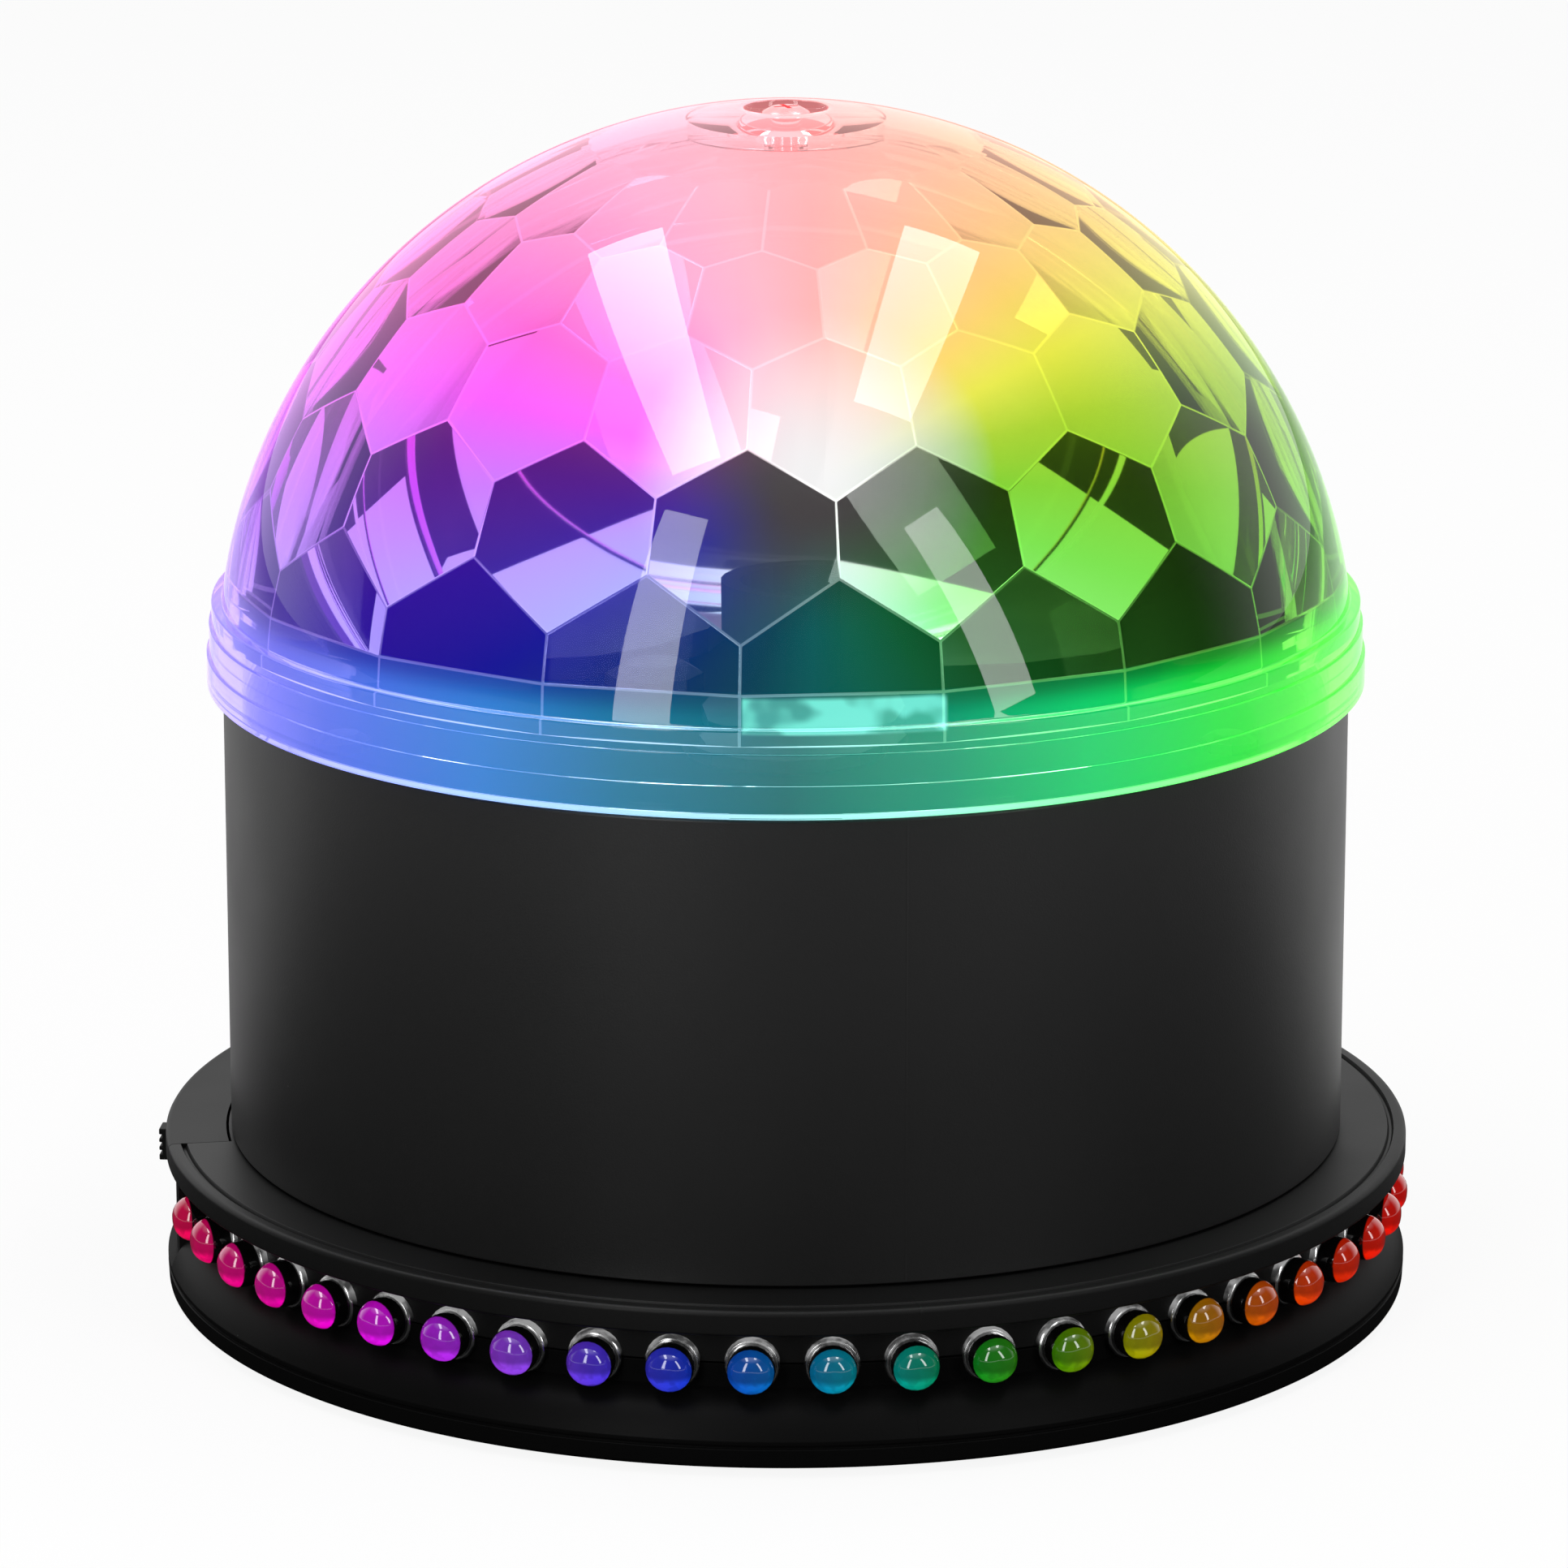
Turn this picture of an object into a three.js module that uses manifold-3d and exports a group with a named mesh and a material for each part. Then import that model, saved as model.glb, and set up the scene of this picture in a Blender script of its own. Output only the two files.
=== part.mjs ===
// A table-top party light: a clear faceted dome that turns on a motor, over three lamps in a round
// black body, on a two-part base with a ring of small coloured light-emitting diodes.
// Millimetres, +Z up, origin on the table under the middle. The front looks along -Y.
import * as THREE from 'three';
import { mergeVertices } from 'three/addons/utils/BufferGeometryUtils.js';
import Module from 'manifold-3d';

const wasm = await Module();
wasm.setup();

// Clearances
const seatGap = 0.3;
const runGap = 0.4;
const overrun = 1;

// Base mouldings
const baseRadius = 68;
const footProud = 1;
const flangeHeight = 2.9;
const slopeShares = [[0.8, 0.44], [0.375, 0.8], [0, 1]];
const slopeClearance = 0.1;
const channelDepth = 4;
const shellWall = 2.4;
const floorThickness = 2.2;
const seamRise = 10;
const channelHeadroom = 1.7;
const upperFlangeHeight = 2.7;
const topPlateThickness = 2;
const edgeRound = 0.6;
const channelFillet = 0.5;
const grooveInset = 1.7;
const grooveWidth = 0.7;
const grooveDepth = 0.4;
const clampWidth = 13.3;

// Ring of small diodes
const diodeCount = 45;
const diodesPerStrip = 5;
const diodePitchBearing = 7.3;
const firstDiodeBearing = -76.07;
const diodeRadius = 2.5;
const diodeProud = 0.3;
const stripSetback = 1.3;
const stripThickness = 1.2;
const stripHeight = 6.4;
const stripEndShare = 0.42;

// Control panel in the gap of the ring
const panelFromBearing = -80.2;
const panelToBearing = -111.8;
const panelSetback = 1;
const panelWall = 4.8;
const switchBearing = -94.5;
const switchDrop = 0.1;
const switchCheek = 1.4;
const switchRim = 0.4;
const switchDepth = 5;
const switchSeatDepth = 2.4;
const leverWidth = 2.6;
const leverHeight = 3.6;
const leverTravel = 4;
const leverProud = 1.5;
const leverRootDepth = 1.8;
const thumbNotchShare = 0.25;
const inletBearing = -106;
const controlDrop = 0.6;
const inletWall = 1.2;
const inletLength = 12;
const inletBore = 2.8;
const inletBoreDepth = 9;
const inletPinRadius = 1;
const inletPinSetback = 1.2;
const microphoneBearing = -86;
const microphoneRadius = 3;
const microphoneLength = 4.5;
const microphoneHole = 1;

// Body
const baseLedge = 7.2;
const bodyHeight = 49.3;
const bodyFlangeThickness = 2;
const ledgeWidth = 3.9;
const ledgeThickness = 2.2;
const ledgeDrop = 3.8;

// Deck under the dome
const deckThickness = 2;
const deckLipHeight = 1.2;
const deckLipWidth = 1.3;
const deckScrewInset = 5.8;
const deckBossRadius = 3.4;
const deckBossHeight = 8;

// Dome
const domeOverhang = 1.7;
const domeStepInset = 0.3;
const domeFootInset = 1.3;
const domeFootChamfer = 0.9;
const domeStepHeight = 3.5;
const domeBandHeight = 6.7;
const domeLedgeHeight = 9.1;
const sphereRise = 0.5;
const sphereInset = 1.1;
const domeWall = 2.5;
const cornerRise = 1.2;
const capRise = 0.4;
const facetsPerRow = 18;
const facetLatitudes = [12.3, 26.1, 39.4, 52.4, 63.1];
const evenRowBearing = 5.5;
const cornerToLatitude = 59;
const capFromLatitude = 60;
const skirtInset = 1.1;
const skirtHeight = 6.9;
const footWall = 3.9;
const cutterSideShare = 0.5;
const cutterDepthShare = 0.1;
const bossRadius = 10.35;
const bossDepth = 2.2;
const spotRadius = 4.5;
const spotDepth = 2.4;

// Drive
const motorRadius = 12;
const motorHeight = 20;
const noseRadius = 4;
const noseHeight = 3.3;
const shaftRadius = 2;
const shaftLength = 22;
const shaftProud = 5.8;
const bracketThickness = 1.5;
const bracketEar = 3.5;
const bracketScrewInset = 3;
const hubWall = 1.2;
const hubHeight = 13.2;
const hubRise = 0.8;
const hubWeb = 0.9;
const pillarRadius = 4.5;

// Lamps under the deck
const lampBoardInset = 2;
const motorClearance = 2.5;
const lampBoardThickness = 1.6;
const lampBoardDrop = 5.6;
const sinkSetback = 14.6;
const sinkMargin = 2;
const sinkThickness = 2.5;
const finHeight = 6;
const finThickness = 1.6;
const finCount = 12;
const finOffsetShare = 0.5;
const sinkPostRadius = 2.6;
const emitterWidth = 6;
const emitterHeight = 2;
const lensFootRadius = 4;
const lensRadius = 9.4;
const lensRimWidth = 1.4;
const lensRimHeight = 1.4;
const lensHubClearance = 9.2;

// Board and what sits on it
const boardMargin = 6.2;
const boardLonger = 22;
const boardThickness = 1.6;
const boardRise = 3.8;
const boardPostRadius = 3;
const boardPostInset = 6;
const capacitorRadius = 5;
const capacitorHeight = 16;
const capacitorEndInset = 16;
const capacitorY = -6;
const chipLength = 12;
const chipWidth = 8;
const chipHeight = 2;
const chipX = -8;
const chipY = 4;
const leadRadius = 1.4;
const leadBend = 9;
const leadBoardX = 8;
const leadBoardY = 16;

// Sensitivity control on the rear of the body
const rearBearing = 180;
const knobDrop = 19.3;
const knobRadius = 5.5;
const knobLength = 5.4;
const knobStemRadius = 3;
const potWidth = 11;
const potDepth = 6.5;
const potBoreDepth = 2.5;
const knobMarkShare = 0.33;

// Screws and feet
const screwRadius = 1.5;
const screwHeadRadius = 2.8;
const screwHeadHeight = 1.8;
const screwCrownShare = 0.6;
const baseScrewInset = 8.8;
const baseScrewGrip = 5.6;
const baseBossWall = 0.8;
const baseBossHeight = 10;
const deckScrewLength = 8;
const shortScrewLength = 5;
const boardScrewTip = 0.7;
const domeScrewRadius = 1.25;
const domeScrewHeadRadius = 2.7;
const domeScrewHeadHeight = 1.2;
const domeScrewLength = 9;
const washerThickness = 0.5;
const footRadius = 6;
const footSeatDepth = 0.8;
const footInset = 20;

// Round shapes are cut into this many flats
const ringSegments = 45;
const domeSegments = 54;
const domeSteps = 13;
const innerSegments = 30;
const discSegments = 16;
const smallSegments = 8;
const diodeSegments = 8;
const holeSegments = 6;
const leadSides = 3;
const leadSteps = 12;

// Radii that follow
const channelRadius = baseRadius - channelDepth;
const channelInner = channelRadius - shellWall;
const grooveRadius = baseRadius - grooveInset;
const bodyRadius = baseRadius - baseLedge;
const bodyInner = bodyRadius - shellWall;
const clampRingRadius = bodyRadius - clampWidth;
const baseScrewCircle = bodyRadius - baseScrewInset;
const baseBossRadius = screwHeadRadius + baseBossWall;
const bossBore = screwRadius + seatGap;
const footCircle = baseRadius - footInset;
const diodeTipRadius = baseRadius + diodeProud;
const stripOuterRadius = channelInner - stripSetback;
const stripInnerRadius = stripOuterRadius - stripThickness;
const panelFaceRadius = baseRadius - panelSetback;
const panelBackRadius = panelFaceRadius - panelWall;
const leverTipRadius = baseRadius + leverProud;
const inletRadius = inletBore + inletWall;
const deckRadius = bodyInner - 2 * seatGap;
const deckScrewCircle = bodyInner - deckScrewInset;
const domeStepRadius = bodyRadius + domeOverhang;
const domeBandRadius = domeStepRadius - domeStepInset;
const domeLedgeRadius = domeBandRadius - domeStepInset;
const domeFootRadius = domeStepRadius - domeFootInset;
const domeInnerRadius = domeStepRadius - footWall;
const sphereRadius = domeStepRadius - sphereInset;
const facetRadius = sphereRadius - domeWall;
const skirtRadius = facetRadius - skirtInset;
const cornerRadius = facetRadius + cornerRise;
const capRadius = facetRadius + capRise;
const hubRadius = pillarRadius + seatGap + hubWall;
const bracketScrewReach = motorRadius + bracketScrewInset;
const sinkPostCircle = deckScrewCircle - sinkSetback;
const sinkOuter = sinkPostCircle + sinkMargin;
const lampBoardOuter = sinkPostCircle - lampBoardInset;
const lampBoardInner = motorRadius + motorClearance;
const lensRimRadius = lensRadius + lensRimWidth;
const lensHoleRadius = lensRadius + seatGap;
const lampCircle = hubRadius + lensHubClearance + lensRimRadius;

// Heights that follow
const rimBottom = footProud;
const flangeTop = rimBottom + flangeHeight;
const floorTop = rimBottom + floorThickness;
const seamHeight = rimBottom + seamRise;
const slopeTop = seamHeight - diodeRadius - slopeClearance;
const upperFlangeBottom = seamHeight + diodeRadius + channelHeadroom;
const baseTop = upperFlangeBottom + upperFlangeHeight;
const topPlateBottom = baseTop - topPlateThickness;
const panelBottom = flangeTop + seatGap;
const switchMiddle = seamHeight - switchDrop;
const controlMiddle = seamHeight - controlDrop;
const bodyBottom = baseTop + seatGap;
const bodyTop = bodyBottom + bodyHeight;
const ledgeTop = bodyTop - ledgeDrop;
const knobHeight = bodyTop - knobDrop;
const deckBottom = ledgeTop + seatGap;
const deckTop = deckBottom + deckThickness;
const shaftTopHeight = deckTop + shaftProud;
const domeBottom = bodyTop + runGap;
const domeCentre = domeBottom + sphereRise;
const domeApex = domeCentre + sphereRadius;
const domeLedgeTop = domeBottom + domeLedgeHeight;
const skirtBottom = domeBottom + skirtHeight;
const bossBottom = domeCentre + capRadius - bossDepth;
const spotFloor = domeApex - spotDepth;
const washerTop = spotFloor + seatGap + washerThickness;
const emitterBottom = deckBottom - lampBoardDrop + lampBoardThickness + seatGap;
const boardTop = floorTop + boardRise + boardThickness;

const rad = THREE.MathUtils.degToRad;
const screwBearings = [45, 135, 225, 315];
const lampBearings = [0, 120, 240];
const deckScrewBearings = [60, 180, 300];
const footBearings = [0, 90, 180, 270];
const bracketBearings = [90, 270];
const diodeBearings = Array.from({ length: diodeCount }, (_, i) => firstDiodeBearing + i * diodePitchBearing);

// The board fits between the screw bosses of the base
const boardWidth = 2 * (baseScrewCircle * Math.cos(rad(screwBearings[0])) - baseBossRadius - boardMargin);
const boardLength = boardWidth + boardLonger;
const capacitorX = boardLength / 2 - capacitorEndInset;
const boardPostX = boardLength / 2 - boardPostInset;
const boardPostY = boardWidth / 2 - boardPostInset;
const boardScrewLength = boardTop + seatGap - floorTop - boardScrewTip;
const baseScrewLength = bodyBottom - rimBottom - screwHeadHeight + baseScrewGrip;

// The seat gap as an angle at the rim
const gapBearing = THREE.MathUtils.radToDeg(seatGap / baseRadius);

// A bearing is measured from the front, positive to the right seen from the front
function towards(bearing, radius, height) {
  return new THREE.Vector3(radius * Math.sin(rad(bearing)), -radius * Math.cos(rad(bearing)), height);
}

// Solids are joined and cut on their merged positions
function toSolid(geometry) {
  const bare = geometry.clone();
  bare.deleteAttribute('normal');
  bare.deleteAttribute('uv');
  const merged = mergeVertices(bare);
  const index = merged.index.array;
  const corners = [];
  for (let i = 0; i < index.length; i += 3) {
    const [a, b, c] = [index[i], index[i + 1], index[i + 2]];
    if (a !== b && b !== c && c !== a) corners.push(a, b, c);
  }
  const vertProperties = new Float32Array(merged.attributes.position.array);
  const triVerts = new Uint32Array(corners);
  return new wasm.Manifold(new wasm.Mesh({ numProp: 3, vertProperties, triVerts }));
}

function toGeometry(solid) {
  const mesh = solid.getMesh();
  const geometry = new THREE.BufferGeometry();
  geometry.setAttribute('position', new THREE.BufferAttribute(mesh.vertProperties, 3));
  geometry.setIndex(new THREE.BufferAttribute(mesh.triVerts, 1));
  geometry.computeVertexNormals();
  return geometry;
}

const join = (...geometries) => geometries.map(toSolid).reduce((whole, piece) => whole.add(piece));
const cut = (solid, ...geometries) =>
  geometries.map(toSolid).reduce((whole, piece) => whole.subtract(piece), solid);

// A profile of [radius, height] points turned about the Z axis, closed on itself or on the axis
function turned(profile, segments) {
  const points = profile.map(([radius, height]) => new THREE.Vector2(radius, height));
  if (points[0].x > 0 || points.at(-1).x > 0) points.push(points[0].clone());
  return new THREE.LatheGeometry(points, segments).rotateX(Math.PI / 2);
}

const disc = (radius, from, to, segments = discSegments) =>
  turned([[0, from], [radius, from], [radius, to], [0, to]], segments);

const ring = (inner, outer, from, to, segments = ringSegments) =>
  turned([[inner, from], [outer, from], [outer, to], [inner, to]], segments);

// A profile turned about the Z axis is laid down to point out through the wall at a bearing
const pointedOut = (geometry, bearing, height) =>
  geometry.rotateX(Math.PI / 2).rotateZ(rad(bearing)).translate(0, 0, height);

// A box between two radii, standing square to a bearing
function radialBox(width, inner, outer, from, to, bearing) {
  const box = new THREE.BoxGeometry(width, outer - inner, to - from);
  return box.translate(0, -(inner + outer) / 2, (from + to) / 2).rotateZ(rad(bearing));
}

// Part of a ring between two bearings
function sector(inner, outer, fromBearing, toBearing, from, to, segments = smallSegments) {
  const start = rad(Math.min(fromBearing, toBearing)) - Math.PI / 2;
  const end = rad(Math.max(fromBearing, toBearing)) - Math.PI / 2;
  const shape = new THREE.Shape();
  shape.absarc(0, 0, outer, start, end, false);
  shape.absarc(0, 0, inner, end, start, true);
  const extrusion = { depth: to - from, bevelEnabled: false, curveSegments: segments };
  return new THREE.ExtrudeGeometry(shape, extrusion).translate(0, 0, from);
}

// How far out a flat block of some width reaches inside a round wall of ring segments
function flatReach(radius, width) {
  const flat = radius * Math.cos(Math.PI / ringSegments);
  return Math.sqrt(flat ** 2 - (width / 2) ** 2);
}

const moved = (geometry, place) => geometry.translate(place.x, place.y, place.z);

// Colours and finishes
const finishes = {
  blackPlastic: { color: 0x1b1b1c, roughness: 0.55, metalness: 0 },
  blackRubber: { color: 0x141414, roughness: 0.9, metalness: 0 },
  clearPlastic: { color: 0xd9b8f0, roughness: 0.05, metalness: 0, transparent: true, opacity: 0.35 },
  tintedDiode: { color: 0xd8206a, roughness: 0.15, metalness: 0 },
  steel: { color: 0xb9bcc0, roughness: 0.3, metalness: 1 },
  aluminium: { color: 0xc4c7ca, roughness: 0.4, metalness: 1 },
  board: { color: 0x1f6b3a, roughness: 0.6, metalness: 0 },
  whiteBoard: { color: 0xe8e8e4, roughness: 0.5, metalness: 0 },
  emitter: { color: 0xf2d85a, roughness: 0.3, metalness: 0 },
  sleeve: { color: 0x22304a, roughness: 0.4, metalness: 0 },
};

const model = new THREE.Group();

function add(name, shape, finish) {
  const geometry = shape instanceof THREE.BufferGeometry ? toGeometry(toSolid(shape)) : toGeometry(shape);
  const mesh = new THREE.Mesh(geometry, new THREE.MeshStandardMaterial(finishes[finish]));
  mesh.name = name;
  model.add(mesh);
}

// Both base mouldings have half of each diode's hole in their meeting edges
function diodeHoles() {
  const across = (diodeRadius + seatGap) / Math.cos(Math.PI / holeSegments);
  const hole = (bearing) => pointedOut(
    disc(across, channelInner - overrun, channelRadius + overrun, holeSegments),
    bearing,
    seamHeight,
  );
  return diodeBearings.map(hole);
}

function baseScrewHoles(from, to, radius) {
  const hole = disc(radius, from, to, smallSegments);
  return screwBearings.map((bearing) => moved(hole.clone(), towards(bearing, baseScrewCircle, 0)));
}

function lowerShell() {
  const seam = seamHeight - seatGap / 2;
  const span = baseRadius - channelRadius;
  const climb = slopeTop - flangeTop;
  const slope = slopeShares.map(([out, up]) => [channelRadius + span * out, flangeTop + climb * up]);
  const tray = turned([
    [0, rimBottom],
    [baseRadius - edgeRound, rimBottom],
    [baseRadius, rimBottom + edgeRound],
    [baseRadius, flangeTop],
    ...slope,
    [channelRadius, seam],
    [channelInner, seam],
    [channelInner, slopeTop],
    [baseRadius - shellWall, flangeTop],
    [baseRadius - shellWall, floorTop],
    [0, floorTop],
  ], ringSegments);
  const bosses = screwBearings.map((bearing) => moved(
    disc(baseBossRadius, floorTop - overrun, topPlateBottom - seatGap, smallSegments),
    towards(bearing, baseScrewCircle, 0),
  ));
  const posts = [[1, 1], [-1, 1], [-1, -1], [1, -1]].map(([x, y]) => moved(
    disc(boardPostRadius, floorTop - overrun, floorTop + boardRise - seatGap, smallSegments),
    new THREE.Vector3(x * boardPostX, y * boardPostY, 0),
  ));
  const seatDepth = screwHeadHeight + seatGap;
  const screwSeats = baseScrewHoles(rimBottom - overrun, rimBottom + seatDepth, screwHeadRadius + seatGap);
  const screwBores = baseScrewHoles(rimBottom, topPlateBottom + overrun, bossBore);
  const footSeats = footBearings.map((bearing) => moved(
    disc(footRadius + seatGap, rimBottom - overrun, rimBottom + footSeatDepth, discSegments),
    towards(bearing, footCircle, 0),
  ));
  const boardBores = [[1, 1], [-1, -1]].map(([x, y]) => moved(
    disc(bossBore, floorTop, floorTop + boardRise + overrun, smallSegments),
    new THREE.Vector3(x * boardPostX, y * boardPostY, 0),
  ));
  const panelSpace = sector(
    channelInner - overrun,
    baseRadius + overrun,
    panelFromBearing + gapBearing,
    panelToBearing - gapBearing,
    flangeTop,
    seamHeight + overrun,
  );
  return cut(
    join(tray, ...bosses, ...posts),
    ...screwSeats,
    ...screwBores,
    ...footSeats,
    ...boardBores,
    panelSpace,
    ...diodeHoles(),
  );
}

function upperShell() {
  const seam = seamHeight + seatGap / 2;
  const cover = turned([
    [channelInner, seam],
    [channelRadius, seam],
    [channelRadius, upperFlangeBottom - channelFillet],
    [channelRadius + channelFillet, upperFlangeBottom],
    [baseRadius - edgeRound / 2, upperFlangeBottom],
    [baseRadius, upperFlangeBottom + edgeRound / 2],
    [baseRadius, baseTop - edgeRound],
    [baseRadius - edgeRound, baseTop],
    [grooveRadius + grooveWidth / 2, baseTop],
    [grooveRadius, baseTop - grooveDepth],
    [grooveRadius - grooveWidth / 2, baseTop],
    [clampRingRadius, baseTop],
    [clampRingRadius, topPlateBottom],
    [channelInner, topPlateBottom],
  ], ringSegments);
  const panelSpace = sector(
    bodyRadius + seatGap,
    baseRadius + overrun,
    panelFromBearing + gapBearing,
    panelToBearing - gapBearing,
    seamHeight - overrun,
    baseTop + overrun,
  );
  const screwBores = baseScrewHoles(topPlateBottom - overrun, baseTop + overrun, bossBore);
  return cut(toSolid(cover), panelSpace, ...screwBores, ...diodeHoles());
}

// The switch is a little wider and taller than the slot in which its lever travels
const switchWidth = leverWidth + 2 * (seatGap + switchCheek);
const switchHeight = leverTravel + leverHeight + 2 * (seatGap + switchRim);

function switchSlot(inner, outer, bearing) {
  const width = leverWidth + 2 * seatGap;
  const reach = (leverTravel + leverHeight) / 2 + seatGap;
  return radialBox(width, inner, outer, switchMiddle - reach, switchMiddle + reach, bearing);
}

function controlPanel() {
  const face = sector(
    panelBackRadius,
    panelFaceRadius,
    panelFromBearing,
    panelToBearing,
    panelBottom,
    baseTop,
  );
  const edge = sector(
    bodyRadius + 2 * seatGap,
    baseRadius,
    panelFromBearing,
    panelToBearing,
    upperFlangeBottom,
    baseTop,
  );
  const halfHeight = switchHeight / 2 + seatGap;
  const seatRadius = panelFaceRadius - switchSeatDepth;
  const switchPocket = radialBox(
    switchWidth + 2 * seatGap,
    bodyRadius - overrun,
    seatRadius,
    switchMiddle - halfHeight,
    switchMiddle + halfHeight,
    switchBearing,
  );
  const out = panelFaceRadius + overrun;
  const inletHole = pointedOut(
    disc(inletRadius + seatGap, bodyRadius - overrun, out),
    inletBearing,
    controlMiddle,
  );
  const micPocket = pointedOut(
    disc(microphoneRadius + seatGap, bodyRadius - overrun, seatRadius),
    microphoneBearing,
    controlMiddle,
  );
  const micHole = pointedOut(
    disc(microphoneHole, bodyRadius, out, smallSegments),
    microphoneBearing,
    controlMiddle,
  );
  const slot = switchSlot(bodyRadius, out, switchBearing);
  return cut(join(face, edge), switchPocket, slot, inletHole, micPocket, micHole);
}

function switchBody() {
  const front = panelFaceRadius - switchSeatDepth - seatGap;
  const block = radialBox(
    switchWidth,
    front - switchDepth,
    front,
    switchMiddle - switchHeight / 2,
    switchMiddle + switchHeight / 2,
    switchBearing,
  );
  return cut(toSolid(block), switchSlot(front - leverRootDepth - seatGap, front + overrun, switchBearing));
}

// The lever rests at the upper end of its slot
function switchLever() {
  const front = panelFaceRadius - switchSeatDepth - seatGap;
  const middle = switchMiddle + leverTravel / 2;
  const stem = radialBox(
    leverWidth,
    front - leverRootDepth,
    leverTipRadius,
    middle - leverHeight / 2,
    middle + leverHeight / 2,
    switchBearing,
  );
  const thumbNotch = leverHeight * thumbNotchShare;
  const notch = radialBox(
    leverWidth + 2 * overrun,
    leverTipRadius - thumbNotch,
    leverTipRadius + overrun,
    middle - thumbNotch / 2,
    middle + thumbNotch / 2,
    switchBearing,
  );
  return cut(toSolid(stem), notch);
}

function powerInlet() {
  const face = panelFaceRadius;
  const floor = face - inletBoreDepth;
  const back = face - inletLength;
  const pinTop = face - inletPinSetback;
  return pointedOut(turned([
    [0, back],
    [inletRadius, back],
    [inletRadius, face],
    [inletBore, face],
    [inletBore, floor],
    [inletPinRadius, floor],
    [inletPinRadius, pinTop],
    [0, pinTop],
  ], discSegments), inletBearing, controlMiddle);
}

function microphoneCapsule() {
  const face = panelFaceRadius - switchSeatDepth - seatGap;
  return pointedOut(disc(microphoneRadius, face - microphoneLength, face), microphoneBearing, controlMiddle);
}

// A curved strip of board with its diodes, which stand out through the channel wall
function diodeStrip(bearings) {
  const end = diodePitchBearing * stripEndShare;
  const half = stripHeight / 2;
  const board = sector(
    stripInnerRadius,
    stripOuterRadius,
    bearings[0] - end,
    bearings.at(-1) + end,
    seamHeight - half,
    seamHeight + half,
  );
  const shoulder = diodeTipRadius - diodeRadius;
  const root = stripInnerRadius + stripThickness / 2;
  const diodes = bearings.map((bearing) => pointedOut(turned([
    [0, root],
    [diodeRadius, root],
    [diodeRadius, shoulder],
    [diodeRadius * Math.cos(Math.PI / 4), shoulder + diodeRadius * Math.sin(Math.PI / 4)],
    [0, diodeTipRadius],
  ], diodeSegments), bearing, seamHeight));
  return join(board, ...diodes);
}

function bodyShell() {
  const ledgeBottom = ledgeTop - ledgeThickness;
  const inner = bodyInner - ledgeWidth;
  const wall = turned([
    [clampRingRadius, bodyBottom],
    [bodyRadius, bodyBottom],
    [bodyRadius, bodyTop],
    [bodyInner, bodyTop],
    [bodyInner, ledgeTop],
    [inner, ledgeTop],
    [inner, ledgeBottom],
    [bodyInner, ledgeBottom - ledgeWidth],
    [bodyInner, bodyBottom + bodyFlangeThickness],
    [clampRingRadius, bodyBottom + bodyFlangeThickness],
  ], ringSegments);
  const screwBosses = screwBearings.map((bearing) => moved(
    disc(baseBossRadius, bodyBottom + edgeRound, bodyBottom + baseBossHeight, smallSegments),
    towards(bearing, baseScrewCircle, 0),
  ));
  const deckBosses = deckScrewBearings.map((bearing) => moved(
    disc(deckBossRadius, ledgeTop - deckBossHeight, ledgeTop, smallSegments),
    towards(bearing, deckScrewCircle, 0),
  ));
  const screwBores = baseScrewHoles(bodyBottom - overrun, bodyBottom + baseBossHeight - overrun, bossBore);
  const deckBores = deckScrewBearings.map((bearing) => moved(
    disc(bossBore, ledgeTop - deckBossHeight + overrun, ledgeTop + overrun, smallSegments),
    towards(bearing, deckScrewCircle, 0),
  ));
  const stemHole = pointedOut(
    disc(knobStemRadius + seatGap, bodyInner - overrun, bodyRadius + overrun, smallSegments),
    rearBearing,
    knobHeight,
  );
  return cut(join(wall, ...screwBosses, ...deckBosses), ...screwBores, ...deckBores, stemHole);
}

function deckPlate() {
  const plate = turned([
    [noseRadius + runGap, deckBottom],
    [deckRadius, deckBottom],
    [deckRadius, deckTop + deckLipHeight],
    [deckRadius - deckLipWidth, deckTop + deckLipHeight],
    [deckRadius - deckLipWidth, deckTop],
    [noseRadius + runGap, deckTop],
  ], ringSegments);
  const sinkTop = deckBottom - lampBoardDrop - seatGap;
  const posts = deckScrewBearings.map((bearing) => moved(
    disc(sinkPostRadius, sinkTop + seatGap, deckBottom + edgeRound, smallSegments),
    towards(bearing, sinkPostCircle, 0),
  ));
  const lensHoles = lampBearings.map((bearing) => moved(
    disc(lensHoleRadius, deckBottom - overrun, deckTop + overrun),
    towards(bearing, lampCircle, 0),
  ));
  const screwHoles = deckScrewBearings.map((bearing) => moved(
    disc(bossBore, deckBottom - overrun, deckTop + overrun, smallSegments),
    towards(bearing, deckScrewCircle, 0),
  ));
  const motorHoles = bracketBearings.map((bearing) => moved(
    disc(bossBore, deckBottom - overrun, deckTop + overrun, smallSegments),
    towards(bearing, bracketScrewReach, 0),
  ));
  const postBores = deckScrewBearings.map((bearing) => moved(
    disc(bossBore, sinkTop - overrun, deckBottom - edgeRound, smallSegments),
    towards(bearing, sinkPostCircle, 0),
  ));
  return cut(join(plate, ...posts), ...lensHoles, ...screwHoles, ...motorHoles, ...postBores);
}

// A flat cutter just outside one flat of the dome's inner wall
function flatCutter(distance, latitude, bearing) {
  const side = cornerRadius * cutterSideShare;
  const thickness = cornerRadius * cutterDepthShare;
  const slab = new THREE.BoxGeometry(side, thickness, side);
  slab.translate(0, -(distance + thickness / 2), 0);
  return slab.rotateX(-rad(latitude)).rotateZ(rad(bearing)).translate(0, 0, domeCentre);
}

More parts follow.
